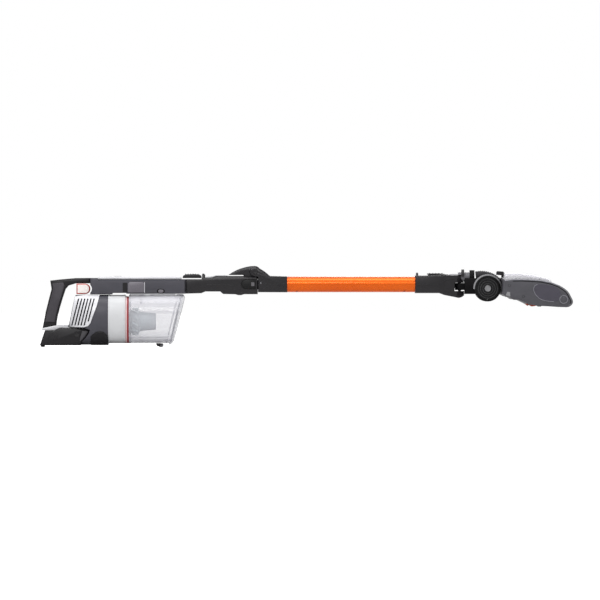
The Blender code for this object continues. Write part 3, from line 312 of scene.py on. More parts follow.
def plate(name, outline, near, far, material, body, slot, edge=0.8, spot=along, upright=False):
    """A side outline (s, h) made solid from y=near to y=far, or a plan (s, y) from h=near to h=far."""
    rings = [[(p, q, d) if upright else (p, d, q) for p, q in outline] for d in (near, far)]
    made = solid(name, *skin(rings), material, body, slot, spot)
    if edge:
        soften(made, edge, segments=3)
    return made


def ring_of(centre, axis, along_axis, radius, count, start=0.0, sweep=360.0):
    """Points round an axis x, y or z through a centre, at a distance along it."""
    spots = []
    for i in range(count):
        turn = radians(start + sweep * i / (count if sweep == 360.0 else count - 1))
        p, q = radius * cos(turn), radius * sin(turn)
        offset = {"x": (along_axis, p, q), "y": (p, along_axis, q), "z": (p, q, along_axis)}[axis]
        spots.append(tuple(c + o for c, o in zip(centre, offset)))
    return spots


def lathe(name, centre, axis, profile, material, body, slot, count=48, spot=along, loop=False, angle=35):
    """A turned piece from (distance along the axis, radius) steps."""
    rings = [ring_of(centre, axis, distance, radius, count) for distance, radius in profile]
    return solid(name, *skin(rings, loop), material, body, slot, spot, angle)


SURFACES = {}


def touch(names, point, direction):
    """Where a straight line from a point in metres first meets the CAD nodes, or None."""
    if names not in SURFACES:
        points, faces = [], []
        for name in names.split():
            start = len(points)
            points += [v.co.copy() for v in nodes[name].data.vertices]
            faces += [tuple(start + i for i in f.vertices) for f in nodes[name].data.polygons]
        SURFACES[names] = BVHTree.FromPolygons(points, faces)
    return SURFACES[names].ray_cast(point, direction)[0]


def bead(name, names, path, side, width, height, material, body, slot, spot=along, closed=False):
    """A thin raised line laid on the side of CAD nodes along a path of (s, h), side -1 right or 1 left."""
    rings = []
    last = None
    for i, (s, h) in enumerate(path):
        ahead = path[(i + 1) % len(path)] if closed else path[min(i + 1, len(path) - 1)]
        behind = path[i - 1] if closed else path[max(i - 1, 0)]
        run = Vector((ahead[0] - behind[0], ahead[1] - behind[1])).normalized()
        ring = []
        for across, lift in ((-0.5, 0.0), (-0.3, height), (0.3, height), (0.5, 0.0), (0.3, -0.25),
                             (-0.3, -0.25)):
            p, q = s - run.y * across * width, h + run.x * across * width
            start = spot(p, side * 300, q)
            hit = touch(names, start, Vector((0, -side, 0)))
            last = hit.y / MM if hit else last
            ring.append((p, (last if last is not None else side * 20) + side * lift, q))
        rings.append(ring)
    return solid(name, *skin(rings, closed), material, body, slot, spot, angle=50)


def both_sides(build, name):
    """Calls build(name_right, -1) and build(name_left, 1)."""
    for word, side in (("right", -1), ("left", 1)):
        build(f"{name}_{word}", side)


black = moulding("black_moulding", (30, 28, 31), 0.34, shine=0.3)
deep_black = moulding("deep_black_moulding", (12, 11, 13), 0.5, shine=0.12, wear=0.1)
pad_rubber = moulding("pad_rubber", (74, 71, 76), 0.62, shine=0.3, dots=(520.0, 0.3, 0.00012))
bright = moulding("bright_moulding", (226, 226, 230), 0.24, wear=0.1, uneven=0.06, coat=0.3)
screw_steel = moulding("screw_steel", (120, 120, 124), 0.3, metal=1.0)
finish("handle_shell_right handle_shell_left", black, bevel=0.5)
finish("grip_pad_right grip_pad_left", pad_rubber, bevel=0.6)
finish("handle_base", bright, bevel=0.5)


def screw(name, s, y, h, side, body, radius=3.4, spot=along):
    """A six-lobe screw in a near-black raised ring that is painted shade for its counterbore."""
    bore_shade = [(0.0, radius), (side * 0.25, radius + 0.3), (side * 0.25, radius - 0.5),
            (side * -0.2, radius - 0.7)]
    lathe(name + "_bore", (s, y, h), "y", bore_shade + [(side * -0.2, 0.2)], deep_black, body, "black_plastic",
          28, spot)
    rings = []
    for distance, scale in ((0.0, 0.78), (0.12, 0.72), (0.12, 0.42), (-0.1, 0.38)):
        ring = ring_of((s, y, h), "y", side * (distance + 0.14), 1.0, 24)
        lobed = [1.0 if scale > 0.5 else 0.84 + 0.16 * cos(6 * 2 * pi * i / 24) for i in range(24)]
        size = radius * scale
        rings.append([(s + (p[0] - s) * size * k, p[1], h + (p[2] - h) * size * k)
                      for p, k in zip(ring, lobed)])
    solid(name, *skin(rings), screw_steel, body, "steel", spot)


for number, (s, h) in enumerate(((38.5, 166.0), (112.0, 171.8), (33.0, 64.0))):
    seat = touch("handle_shell_left grip_pad_left", along(s, 60.0, h), Vector((0, -1, 0)))
    screw(f"handle_screw_{number}", s, seat.y / MM, h, 1, "handset", 2.6)

# ---- Trigger -----------------------------------------------------------------------------------------
# One orange-red moulding for the first finger, with a pale pinkish patch on each face that is a painted
# highlight. It slides straight back into the front of the handle against a spring.

trigger_red = moulding("trigger_moulding", (206, 60, 48), 0.3, wear=0.15, coat=0.3)
# Painted highlight: the pale pinkish patch laid on each face of the trigger.
trigger_highlight = moulding("trigger_inlay", (255, 248, 244), 0.25, wear=0.0, uneven=0.03, coat=0.3)
finish("trigger", trigger_red, bevel=0.8)
trigger_low, trigger_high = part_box("trigger")
TRIGGER_RIM = 2.6
pull_low, pull_high = 136.6 + TRIGGER_RIM, 163.6 - TRIGGER_RIM
pull_middle, pull_half = (pull_low + pull_high) / 2, (pull_high - pull_low) / 2
highlight_outline = [(94.2 + TRIGGER_RIM, pull_high), (94.2 + TRIGGER_RIM, pull_low)]
highlight_outline += [(116.0 + pull_half * cos(radians(t)),
               pull_middle + pull_half * sin(radians(t))) for t in range(-90, 91, 10)]


def trigger_inlay(name, side):
    plate(name, highlight_outline, side * 16.6, side * 17.7, trigger_highlight, "trigger", "orange_trigger", 0.5)


both_sides(trigger_inlay, "trigger_inlay")

# ---- Motor housing and its vents ---------------------------------------------------------------------
# A barrel of dark slate ABS holds the suction motor. A bright slotted panel clips over each side, with
# black strips behind the slots as painted shade, and a black shell over the belly is painted shade on
# its underside.

slate = moulding("slate_moulding", (74, 73, 81), 0.36, shine=0.4)
motor_alloy = moulding("motor_alloy", (190, 190, 195), 0.3, metal=1.0, wear=0.0)
# Painted shade: near-black for the strips under the vent slots.
vent_painted_shade = moulding("vent_painted_shade", (20, 20, 22), 0.95, shine=0.1, dots=(900.0, 0.4, -0.0003))
finish("motor_housing", slate, bevel=0.4)
finish("exhaust_grille_right exhaust_grille_left", bright)
finish("suction_motor motor_impeller", motor_alloy)
SLOTS, SLOT_PITCH, SLOT_WIDTH = 6, 8.05, 3.6


def vent_screen(name, side):
    """Black strips laid on the barrel under the slots: painted shade seen through them."""
    points, faces = [], []
    for i in range(SLOTS):
        low = 55.5 if i < SLOTS - 1 else 66.0
        foot = 81.3 + SLOT_PITCH * i + (low - 55.5) * 0.252
        top = 98.8 + SLOT_PITCH * i
        rows = 16
        for k in range(rows + 1):
            share = k / rows
            for across in (-0.15, SLOT_WIDTH + 0.15):
                s, h = foot + (top - foot) * share + across, low + (125.0 - low) * share
                hit = touch("motor_housing", along(s, side * 300, h), Vector((0, -side, 0)))
                points.append((s, hit.y / MM + side * 0.12, h))
        start = i * 2 * (rows + 1)
        faces += [(start + 2 * k, start + 2 * k + 1, start + 2 * k + 3, start + 2 * k + 2)
                  for k in range(rows)]
    solid(name, points, faces, vent_painted_shade, "handset", "black_plastic")


both_sides(vent_screen, "vent_screen")

# Painted shade: a black shell laid over the barrel's underside, darker than the slate above it.
BELLY_SHADE_TOP = [(131.5, 27.0), (138.0, 34.0), (147.0, 39.5), (157.0, 41.6), (166.0, 39.0), (172.0, 33.5),
            (176.2, 29.0)]
belly_shade_points, belly_shade_faces = [], []
BELLY_SHADE_COLUMNS, BELLY_SHADE_ROWS = 15, 24
for i in range(BELLY_SHADE_COLUMNS):
    s = BELLY_SHADE_TOP[0][0] + (BELLY_SHADE_TOP[-1][0] - BELLY_SHADE_TOP[0][0]) * i / (BELLY_SHADE_COLUMNS - 1)
    for before, after in zip(BELLY_SHADE_TOP, BELLY_SHADE_TOP[1:]):
        if before[0] <= s <= after[0] + 0.01:
            top = before[1] + (after[1] - before[1]) * (s - before[0]) / (after[0] - before[0])
    reach = 0.0
    while reach < 89.0:
        turn = radians(reach - 90)
        out = Vector((0, cos(turn), sin(turn)))
        hit = touch("motor_housing", along(s, 0, 72) + out * 0.2, -out)
        if hit is None or hit.z > top * MM:
            break
        reach += 0.5
    for k in range(BELLY_SHADE_ROWS + 1):
        turn = radians(-90 + reach * (2 * k / BELLY_SHADE_ROWS - 1))
        out = Vector((0, cos(turn), sin(turn)))
        hit = touch("motor_housing", along(s, 0, 72) + out * 0.2, -out) + out * 0.00015
        belly_shade_points.append((s, hit.y / MM, hit.z / MM))
for i in range(BELLY_SHADE_COLUMNS - 1):
    for k in range(BELLY_SHADE_ROWS):
        start = i * (BELLY_SHADE_ROWS + 1) + k
        belly_shade_faces.append((start, start + 1, start + BELLY_SHADE_ROWS + 2, start + BELLY_SHADE_ROWS + 1))
belly_shade = solid("belly_painted_shade", belly_shade_points, belly_shade_faces, black, "handset", "black_plastic", angle=60)
wall = belly_shade.modifiers.new("wall", "SOLIDIFY")
wall.thickness = 0.0009
wall.offset = 1.0

# ---- Battery -----------------------------------------------------------------------------------------
# A black case of lithium cells slides up into the motor housing from behind. A sprung grey leaf in each
# side lets it go. Fine ribs help the grip, and four small lights on its back show the charge.

leaf_grey = moulding("leaf_moulding", (78, 76, 80), 0.38, shine=0.4)
cell_wrap = moulding("cell_wrap", (60, 110, 170), 0.35, wear=0.0)
light_lens = moulding("charge_light_lens", (205, 214, 220), 0.2, wear=0.0)
finish("battery_case", black, bevel=0.5)
finish("battery_release_right battery_release_left", leaf_grey, bevel=0.4)
finish("battery_cells", cell_wrap)
HALF_BATTERY = 37.0


def battery_side(name, side):
    """Grip ribs, and the round finger hollow beside the release leaf."""
    for i in range(4):
        s = 20.0 + 6.5 * i
        path = [(s, 12.0), (s + 4.0, 24.0), (s + 8.0, 36.0)]
        bead(f"{name}_rib_{i}", "battery_case", path, side, 1.6, 0.5, black, "battery", "black_plastic")
    hollow = [(0.0, 7.6), (side * 0.4, 7.3), (side * 0.4, 6.4), (side * 0.15, 5.4), (side * 0.1, 0.2)]
    lathe(name + "_hollow", (96.0, side * HALF_BATTERY, 33.0), "y", hollow, black, "battery",
          "black_plastic", 32)


both_sides(battery_side, "battery")
lights = [(-0.3, 1.5), (0.5, 1.5), (0.7, 1.1), (0.7, 0.1)]
s, h = 6.6, 25.0
for i in range(4):
    rings = [ring_of((s - d, -9.0 + 6.0 * i, h + 0.32 * d), "x", 0.0, r, 20) for d, r in lights]
    solid(f"charge_light_{i}", *skin(rings), light_lens, "battery", "clear_plastic")

# ---- Boom --------------------------------------------------------------------------------------------
# A long slate housing over the barrel carries the dirty-air duct and the control board. A bright cover
# is clipped along its top and runs on as a thin trim over the wand. Their near-white is partly the
# cover's own colour and partly a painted highlight. The cup slider hangs on its side, with a bright strip
# down its rear edge that is a painted highlight; the cup door button sits in a near-black ring that is
# painted shade.

slider_grey = moulding("slider_moulding", (112, 108, 116), 0.32)
board_lacquer = moulding("board_lacquer", (30, 92, 60), 0.4, wear=0.0)
finish("boom_housing", slate, bevel=0.5)
# The cover's near-white is partly its own colour and partly a painted highlight along the boom's top.
finish("boom_top_cover", bright, bevel=0.5)
finish("cup_release_slider", slider_grey, bevel=0.4)
finish("door_release_button", slider_grey, bevel=0.3)
finish("control_board", board_lacquer)
for i in range(5):
    s = 236.0 + 6.2 * i
    rib = [(s, 146.0), (s + 1.6, 146.0), (s + 1.6, 162.0), (s, 162.0)]
    plate(f"slider_rib_{i}", rib, -32.0, -32.9, slider_grey, "cup_release_slider", "grey_plastic", 0.35)
catch_plate = [(214.0, 141.5), (225.6, 141.5), (225.6, 166.0), (214.0, 166.0)]
plate("slider_catch_plate", catch_plate, -28.2, -28.9, black, "cup_release_slider", "black_plastic", 0.3)
# Painted highlight: a bright strip down the slider's rear edge.
slider_glint_outline = [(269.8, 140.2), (271.2, 140.2), (271.2, 167.6), (269.8, 167.6)]
plate("slider_rear_highlight", slider_glint_outline, -28.1, -30.5, bright, "handset", "silver_plastic", 0.3)
# Painted shade: a near-black ring for the dark recess round the cup door button.
button_shade_ring = [ring_of((312.5, -28.0, 144.0), "y", d, r, 40)
         for d, r in ((0.0, 9.0), (-0.5, 8.6), (-0.5, 6.4), (0.1, 6.2))]
button_shade_ring = [[(312.5 + (s - 312.5) * 1.15, y, 144.0 + (h - 144.0) * 0.72) for s, y, h in ring]
         for ring in button_shade_ring]
solid("door_button_shade_ring", *skin(button_shade_ring, True), deep_black, "handset", "black_plastic")
for word, side in (("right", -1), ("left", 1)):
    seam = [(150.0, 173.6), (250.0, 173.9), (374.0, 173.9)]
    bead(f"boom_seam_{word}", "boom_housing", seam, side, 2.4, 0.12, deep_black, "handset", "black_plastic")
    end_band = [(374.9, 141.0), (374.9, 172.0)]
    bead(f"boom_end_band_{word}", "boom_housing", end_band, side, 2.2, 0.35, black, "handset",
         "black_plastic")

mode_button = [(0.0, 7.2), (0.7, 7.0), (0.9, 6.2), (0.6, 4.8), (0.5, 0.2)]
rings = [[(s + (s - 200.0) * 0.5, y, h) for s, y, h in ring_of((200.0, 0, 182.2), "z", d, r, 40)]
         for d, r in mode_button]
solid("mode_button", *skin(rings), slate, "handset", "dark_plastic")
lamp = [(0.0, 1.3), (0.35, 1.2), (0.45, 0.8), (0.45, 0.1)]
for i in range(3):
    lathe(f"mode_light_{i}", (218.0 + 7.0 * i, 0, 182.3), "z", lamp, light_lens, "handset", "clear_plastic",
          20)

# Partly painted highlight: the near-white trim along the wand's top also stands for the top light's
# highlight.
trim_highlight_outline = [(428.0, 179.5), (444.0, 179.5), (456.0, 183.9), (484.5, 183.9), (484.5, 185.6), (455.0, 185.6),
             (440.0, 182.4), (428.0, 182.4)]
plate("wand_top_trim_highlight", trim_highlight_outline, -14.0, 14.0, bright, "handset", "silver_plastic", 0.5)

# ---- Filter housing and seal -------------------------------------------------------------------------
# A pale ring holds the washable foam. A muted red silicone lip, seen edge on between two clear rims,
# seals the cup against it.

pale = moulding("pale_moulding", (216, 217, 219), 0.38, wear=0.1, uneven=0.08, shine=0.4)
seal_red = moulding("seal_silicone", (158, 44, 50), 0.42, wear=0.0)
seal_rim = moulding("seal_rim", (224, 196, 196), 0.3, wear=0.0)
foam = moulding("filter_foam", (120, 122, 124), 0.95, dots=(700.0, 0.4, -0.0004))
finish("filter_housing", pale)
finish("cup_seal", seal_red)
finish("foam_filter", foam)


def squircle(s, low, high, half, lean=0.0, power=2.6, count=72):
    """A rounded-square ring across the barrel."""
    ring = []
    for i in range(count):
        t = 2 * pi * (i + 0.5) / count
        y = half * abs(cos(t)) ** (2 / power) * (1 if cos(t) > 0 else -1)
        rise = (high - low) / 2 * abs(sin(t)) ** (2 / power) * (1 if sin(t) > 0 else -1)
        ring.append((s + lean * rise, y, (low + high) / 2 + rise))
    return ring


def hoop(name, back, front, low, high, half, thick, material, body, slot, lean=0.0):
    """A thin band round a barrel section, its edges rounded."""
    steps = ((back, 0.0), (back, thick * 0.6), (back + 0.3, thick), (front - 0.3, thick),
             (front, thick * 0.6), (front, 0.0))
    rings = [squircle(s, low - t, high + t, half + t, lean) for s, t in steps]
    return solid(name, *skin(rings, True), material, body, slot, angle=50)


HALF_CUP = 55.4
hoop("filter_back_band", 176.9, 180.6, 9.5, 134.8, HALF_CUP, 0.7, pale, "handset", "pale_plastic")
hoop("filter_front_band", 217.0, 219.4, 9.5, 134.8, HALF_CUP, 0.5, pale, "handset", "pale_plastic")
hoop("seal_clear_rim", 221.4, 225.4, 9.5, 131.0, HALF_CUP - 0.6, 0.6, seal_rim, "dust_cup", "red_rubber")

# ---- Dust cup ----------------------------------------------------------------------------------------
# A clear polycarbonate cup, thin-walled, with a slide rail along its top, a stop rib under the slider
# and two stiffening lines low on each side. A meshed shroud with pale vanes stands inside it.


def clear_moulding(name, colour, facing, grazing, roughness=0.05, blend=0.3):
    """See-through moulding, thin in the middle and dense where the wall is seen edge on."""
    material, tree, shader = new_material(name)
    texture = node(tree, "Group", {}, node_tree=GRAIN)
    texture.inputs["Patches"].default_value = 30.0
    base = tint(colour)
    deeper = (*[c * 0.93 for c in base[:3]], 1.0)
    tree.links.new(mix(tree, texture.outputs["Patch"], base, deeper), shader.inputs["Base Color"])
    edge = node(tree, "LayerWeight", {"Blend": blend}).outputs["Facing"]
    veil = node(tree, "MapRange", {"Value": edge, "To Min": facing, "To Max": grazing}).outputs["Result"]
    tree.links.new(veil, shader.inputs["Alpha"])
    shader.inputs["Roughness"].default_value = roughness
    shader.inputs["Coat Weight"].default_value = 0.5
    return material


clear = clear_moulding("clear_polycarbonate", (232, 231, 238), 0.24, 0.85)
clear_rib = clear_moulding("clear_rib", (204, 204, 211), 0.5, 0.9)
shroud_mesh = moulding("shroud_mesh", (212, 220, 224), 0.4, metal=0.2, wear=0.0,
                       dots=(620.0, 0.42, -0.0003))
vane_teal = moulding("vane_moulding", (208, 222, 224), 0.4, wear=0.0)
finish("dust_cup", clear)
finish("cyclone_shroud", shroud_mesh)
finish("cyclone_cone", vane_teal)
finish("cup_foot", black, bevel=0.3)
finish("door_hinge_pin", screw_steel)

for word, side in (("right", -1), ("left", 1)):
    rail = [(232.0, 134.7), (350.0, 134.7), (350.0, 137.3), (232.0, 137.3)]
    plate(f"cup_rail_{word}", rail, side * 15.0, side * 26.5, clear_rib, "dust_cup", "clear_plastic", 0.4)
    tab = [(260.5, 134.0), (260.5, 122.0), (260.5, 111.0)]
    bead(f"cup_stop_rib_{word}", "dust_cup", tab, side, 2.2, 0.8, clear_rib, "dust_cup", "clear_plastic")
    for height in (24.5, 18.0):
        line = [(236.0, height), (285.0, height), (328.0 if height > 20 else 325.0, height)]
        bead(f"cup_line_{word}_{height:.0f}", "dust_cup", line, side, 1.2, 0.5, clear_rib, "dust_cup",
             "clear_plastic")
hoop("cup_back_band", 230.4, 234.0, 9.5, 134.6, HALF_CUP, 0.5, clear_rib, "dust_cup", "clear_plastic")
VANES = 12
for i in range(VANES):
    turn = 2 * pi * i / VANES
    blade = []
    for s, swing in ((238.0, 0.0), (246.0, 0.12), (254.0, 0.3)):
        a = turn + swing
        corners = [(31.4, a), (36.5, a + 0.1), (36.5, a + 0.16), (31.4, a + 0.06)]
        blade.append([(s, r * cos(t), 66.0 + r * sin(t)) for r, t in corners])
    solid(f"cyclone_vane_{i}", *skin(blade), vane_teal, "dust_cup", "pale_plastic")
for number, s in enumerate((262.0, 272.0, 284.0)):
    radius = 25.4 - (s - 258.0) * 0.1
    ring = [(0.0, radius - 0.4), (0.0, radius + 0.9), (1.8, radius + 0.8), (1.8, radius - 0.4)]
    lathe(f"shroud_hoop_{number}", (s, 0, 66.0), "x", ring, vane_teal, "dust_cup", "pale_plastic",
          loop=True)

# ---- Cup door ----------------------------------------------------------------------------------------
# The clear front of the cup, tilted, hinged on a steel pin between two lugs at the foot and held shut
# by a catch at the top. A rim bead and a soft lip go all the way round it.

finish("cup_door", clear)
door_lip = moulding("door_lip", (150, 152, 156), 0.6, wear=0.0)
finish("door_seal", door_lip)
LEAN = 0.235
hoop("door_rim", 348.9, 351.3, 8.0, 134.8, HALF_CUP, 0.7, clear_rib, "cup_door", "clear_plastic", LEAN)
hoop("door_inner_line", 340.5, 342.0, 9.5, 134.8, HALF_CUP, 0.5, clear_rib, "dust_cup", "clear_plastic",
     LEAN)
for word, side in (("right", -1), ("left", 1)):
    head = [(352.6, 134.4), (369.5, 134.4), (370.3, 137.0), (352.6, 137.0)]
    plate(f"door_top_rail_{word}", head, side * 15.0, side * 26.5, clear_rib, "cup_door", "clear_plastic",
          0.4)
catch = [(361.5, 134.0), (371.5, 134.0), (373.5, 130.0), (369.5, 126.5), (362.0, 130.5)]
plate("door_catch", catch, -9.0, 9.0, clear_rib, "cup_door", "clear_plastic", 0.5)

# ---- Upper wand and its fold -------------------------------------------------------------------------
# Two black halves make the bent duct that plugs into the boom. A knuckle under the dome carries the
# steel fold pin; a ribbed hose bridges the fold, and the D-shaped button in the side frees it. The button
# and its frame are near-black with the recess's painted shade, and a grey patch on the button is a
# painted highlight.

gloss_black = moulding("gloss_black_moulding", (33, 31, 34), 0.28, shine=0.35, coat=0.1)
black_pin = moulding("blackened_pin", (40, 40, 42), 0.35, metal=0.8, wear=0.2)
# Black with painted shade: near-black, darker than the mouldings, for the fold button and its frame in
# their recess.
recess_shade_black = moulding("recess_shade_moulding", (9, 9, 10), 0.45, shine=0.3)
patch_grey = moulding("patch_moulding", (96, 94, 98), 0.35)
finish("wand_upper_housing", gloss_black, bevel=0.5)
finish("wand_release_button", black, bevel=0.6)
finish("fold_release_button", recess_shade_black, bevel=0.4)
finish("fold_pin", black_pin)
finish("wand_lower_housing", gloss_black, bevel=0.5)
for i in range(6):
    s = 375.0 + 6.4 * i
    rib = [(s, 187.6), (s + 2.6, 187.6), (s + 2.2, 189.2), (s + 0.4, 189.2)]
    plate(f"wand_button_rib_{i}", rib, -11.5, 11.5, black, "wand_release_button", "black_plastic", 0.3)
# Painted highlight: a grey patch on the right of the fold button.
button_glint_outline = [(546.0, 157.4), (554.2, 157.4), (554.2, 166.8), (546.0, 166.8)]
plate("fold_button_highlight", button_glint_outline, -23.7, -24.3, patch_grey, "fold_release_button", "grey_plastic", 0.3)
for word, side in (("right", -1), ("left", 1)):
    cap = [(0.0, 7.2), (side * 0.9, 7.0), (side * 1.2, 6.0), (side * 0.8, 4.6), (side * 0.8, 0.2)]
    lathe(f"fold_pin_cap_{word}", (556.0, side * 23.0, 195.5), "y", cap, gloss_black, "lower_wand",
          "black_plastic")
    for number, s in enumerate((541.0, 546.0, 551.0)):
        grip = [(s, 199.0), (s + 1.5, 202.0), (s + 2.0, 205.0)]
        bead(f"dome_grip_{word}_{number}", "wand_lower_housing", grip, side, 1.6, 0.25, patch_grey,
             "lower_wand", "grey_plastic")
    edge_line = [(430.0, 160.5), (470.0, 160.5), (505.0, 159.0)]
    bead(f"wand_side_line_{word}", "wand_upper_housing", edge_line, side, 1.4, 0.35, gloss_black, "handset",
         "black_plastic")
    lower_line = [(585.0, 162.0), (610.0, 162.0), (634.0, 162.0)]
    bead(f"wand_lower_line_{word}", "wand_lower_housing", lower_line, side, 1.4, 0.35, gloss_black,
         "lower_wand", "black_plastic")
    screw(f"fold_screw_{word}", 571.0, side * 23.0, 164.6, side, "lower_wand", 3.0)
heel = [(560.4, 176.2), (564.0, 176.2), (564.0, 180.8), (560.4, 180.8)]
plate("fold_heel", heel, -10.0, 10.0, deep_black, "handset", "black_plastic", 0.4)
frame_ring = []
for grow, depth in ((0.9, 0.0), (0.9, -0.7), (0.1, -0.7), (0.0, 0.2)):
    radius = 12.3 + grow
    loop_line = [(532.5 + radius * cos(radians(t)), -23.0 + depth, 162.0 + radius * sin(radians(t)))
                 for t in range(90, 271, 12)]
    loop_line += [(556.9 + grow, -23.0 + depth, 162.0 - radius),
                  (556.9 + grow, -23.0 + depth, 162.0 + radius)]
    frame_ring.append(loop_line)
solid("fold_button_frame", *skin(frame_ring, True), recess_shade_black, "handset", "black_plastic")


CURVE_STEPS, RIB_STEPS, HOSE_SIDES, RIB_DEPTH = 12, 6, 32, 0.75


def ribbed_hose(name, path, radius, ribs, material, replaced, spot=along):
    """A corrugated hose along a smooth path of (s, h), in place of a hidden CAD node, riding on no body."""
    fine_path = []
    for i in range(len(path) - 1):
        a, b = Vector(path[i]), Vector(path[i + 1])
        before = Vector(path[max(i - 1, 0)])
        after = Vector(path[min(i + 2, len(path) - 1)])
        for k in range(CURVE_STEPS):
            t = k / CURVE_STEPS
            fine_path.append(0.5 * (2 * a + (b - before) * t + (2 * before - 5 * a + 4 * b - after) * t * t
                                    + (3 * a - before - 3 * b + after) * t ** 3))
    fine_path.append(Vector(path[-1]))
    lengths = [0.0]
    for a, b in zip(fine_path, fine_path[1:]):
        lengths.append(lengths[-1] + (b - a).length)
    rings = []
    stations = ribs * RIB_STEPS
    for n in range(stations + 1):
        want = lengths[-1] * n / stations
        i = max(k for k in range(len(lengths)) if lengths[k] <= want + 1e-9)
        i = min(i, len(fine_path) - 2)
        share = (want - lengths[i]) / (lengths[i + 1] - lengths[i])
        here = fine_path[i].lerp(fine_path[i + 1], share)
        run = (fine_path[min(i + 2, len(fine_path) - 1)] - fine_path[max(i - 1, 0)]).normalized()
        swell = radius - RIB_DEPTH + RIB_DEPTH * cos(2 * pi * n / RIB_STEPS)
        rings.append([(here.x - run.y * swell * sin(t), swell * cos(t), here.y + run.x * swell * sin(t))
                      for t in [2 * pi * k / HOSE_SIDES for k in range(HOSE_SIDES)]])
    made = solid(name, *skin(rings), material, None, "hose_rubber", spot, angle=80)
    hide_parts(replaced)
    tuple(spot(path[0][0], 0, path[0][1]))
    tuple(spot(path[-1][0], 0, path[-1][1]))
    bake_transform(made)
    return made


hose_rubber = moulding("hose_rubber", (44, 43, 46), 0.5, shine=0.35)
ribbed_hose("fold_bellows", [(547.5, 161.5), (563.0, 161.5), (578.5, 161.5)], 12.6, 8, hose_rubber,
            "fold_hose")

# ---- Wand tube ---------------------------------------------------------------------------------------
# Thin aluminium tube, drawn, polished along its length and finished in deep orange lacquer. Two small
# darker orange studs low on each side are painted shade for the holes of the buttons that hold the end
# fittings.

orange_lacquer, tree, shader = new_material("orange_lacquer")
place = place_of(tree)
streaks = node(tree, "Mapping", {"Vector": place, "Scale": (6.0, 500.0, 500.0)})
drawn = node(tree, "TexNoise", {"Vector": streaks.outputs["Vector"], "Scale": 1.0, "Detail": 2.0})
texture = node(tree, "Group", {}, node_tree=GRAIN)
texture.inputs["Patches"].default_value = 9.0
rubbed = node(tree, "Group", {}, node_tree=WEAR)
ground = mix(tree, texture.outputs["Patch"], tint((240, 102, 2)), tint((230, 92, 1)))
tree.links.new(mix(tree, rubbed.outputs["Edge"], ground, tint((240, 190, 150))),
               shader.inputs["Base Color"])
gloss = node(tree, "MapRange", {"Value": drawn.outputs["Fac"], "To Min": 0.24, "To Max": 0.34})
tree.links.new(gloss.outputs["Result"], shader.inputs["Roughness"])
relief = node(tree, "Bump", {"Height": drawn.outputs["Fac"], "Distance": 0.000004})
tree.links.new(relief.outputs["Normal"], shader.inputs["Normal"])
shader.inputs["Metallic"].default_value = 0.6
shader.inputs["Coat Weight"].default_value = 0.12
shader.inputs["Coat Roughness"].default_value = 0.08
hole_shade_orange = moulding("hole_shade_orange", (150, 52, 8), 0.3, metal=0.4)
finish("wand_tube", orange_lacquer)
TUBE_AXIS, TUBE_RADIUS = 161.8, 20.2
# Painted shade: darker orange studs where the spring-button holes are.
for word, side in (("right", -1), ("left", 1)):
    for number, s in enumerate((664.0, 942.0)):
        turn = radians(-62)
        rings = []
        for lift, radius in ((-0.4, 2.6), (0.5, 2.4), (0.8, 1.6), (0.8, 0.2)):
            out = TUBE_RADIUS + lift
            rings.append([(s + radius * cos(t), side * (out * cos(turn) - radius * sin(t) * sin(turn)),
                           TUBE_AXIS + out * sin(turn) + radius * sin(t) * cos(turn))
                          for t in [2 * pi * k / 20 for k in range(20)]])
        solid(f"tube_hole_shade_{word}_{number}", *skin(rings), hole_shade_orange, "lower_wand", "orange_tube")
collar_brown = moulding("collar_brown", (60, 26, 14), 0.4, shine=0.3)
band = [(0.0, 20.25), (0.2, 20.7), (2.0, 20.7), (2.2, 20.25)]
lathe("tube_collar", (637.0, 0, TUBE_AXIS), "x", band, collar_brown, "lower_wand", "orange_tube", 64,
      loop=True)

# ---- Neck socket and its hoses -----------------------------------------------------------------------
# The tube drops into a black socket and is held by a button on top. Its fork turns on a vertical pin,
# and a corrugated hose carries the dirt over the fork and down into the head. A pale see-through strip
# along the top of the socket is a painted highlight.

finish("neck_socket", gloss_black, bevel=0.5)
finish("head_release_button", black, bevel=0.5)
finish("neck_yoke", deep_black, bevel=0.5)
finish("swivel_pin", black_pin)
# Painted highlight: the pale see-through strip along the socket's top.
neck_highlight_clear = clear_moulding("smoked_highlight_strip", (176, 174, 180), 0.7, 0.95, roughness=0.15)
pale_hose = moulding("pale_hose", (120, 119, 124), 0.4, shine=0.4)
strip = [(1050.0, 182.6), (1064.0, 186.3), (1094.0, 186.9), (1094.0, 188.6), (1063.0, 188.6),
         (1050.0, 185.0)]
plate("neck_top_highlight", strip, -15.0, 15.0, neck_highlight_clear, "lower_wand", "clear_plastic", 0.5)
for i in range(5):
    s = 1006.0 + 8.0 * i
    rib = [(s, 189.6), (s + 3.0, 189.6), (s + 2.4, 191.2), (s + 0.6, 191.2)]
    plate(f"head_button_rib_{i}", rib, -8.5, 8.5, black, "head_release_button", "black_plastic", 0.3)
for word, side in (("right", -1), ("left", 1)):
    well = [(1002.0, 179.0), (1003.5, 187.6), (1055.5, 187.6), (1057.5, 179.0)]
    plate(f"head_button_well_{word}", well, side * 11.0, side * 13.6, black, "lower_wand", "black_plastic",
          0.8)
plug = [(1069.5, 152.0), (1073.9, 152.0), (1073.9, 170.0), (1069.5, 170.0)]
plate("neck_back_wall", plug, -3.5, 3.5, deep_black, "lower_wand", "black_plastic", 0.3)
arch = []
for s, outer in ((1089.6, 19.0), (1090.2, 19.8), (1096.2, 19.8), (1096.8, 19.0)):
    middle = (s, 0, 181.0)
    arch.append(ring_of(middle, "x", 0, outer, 20, 6, 168) + ring_of(middle, "x", 0, 13.6, 20, 174, -168))
solid("hose_saddle", *skin(arch), black, "lower_wand", "black_plastic")
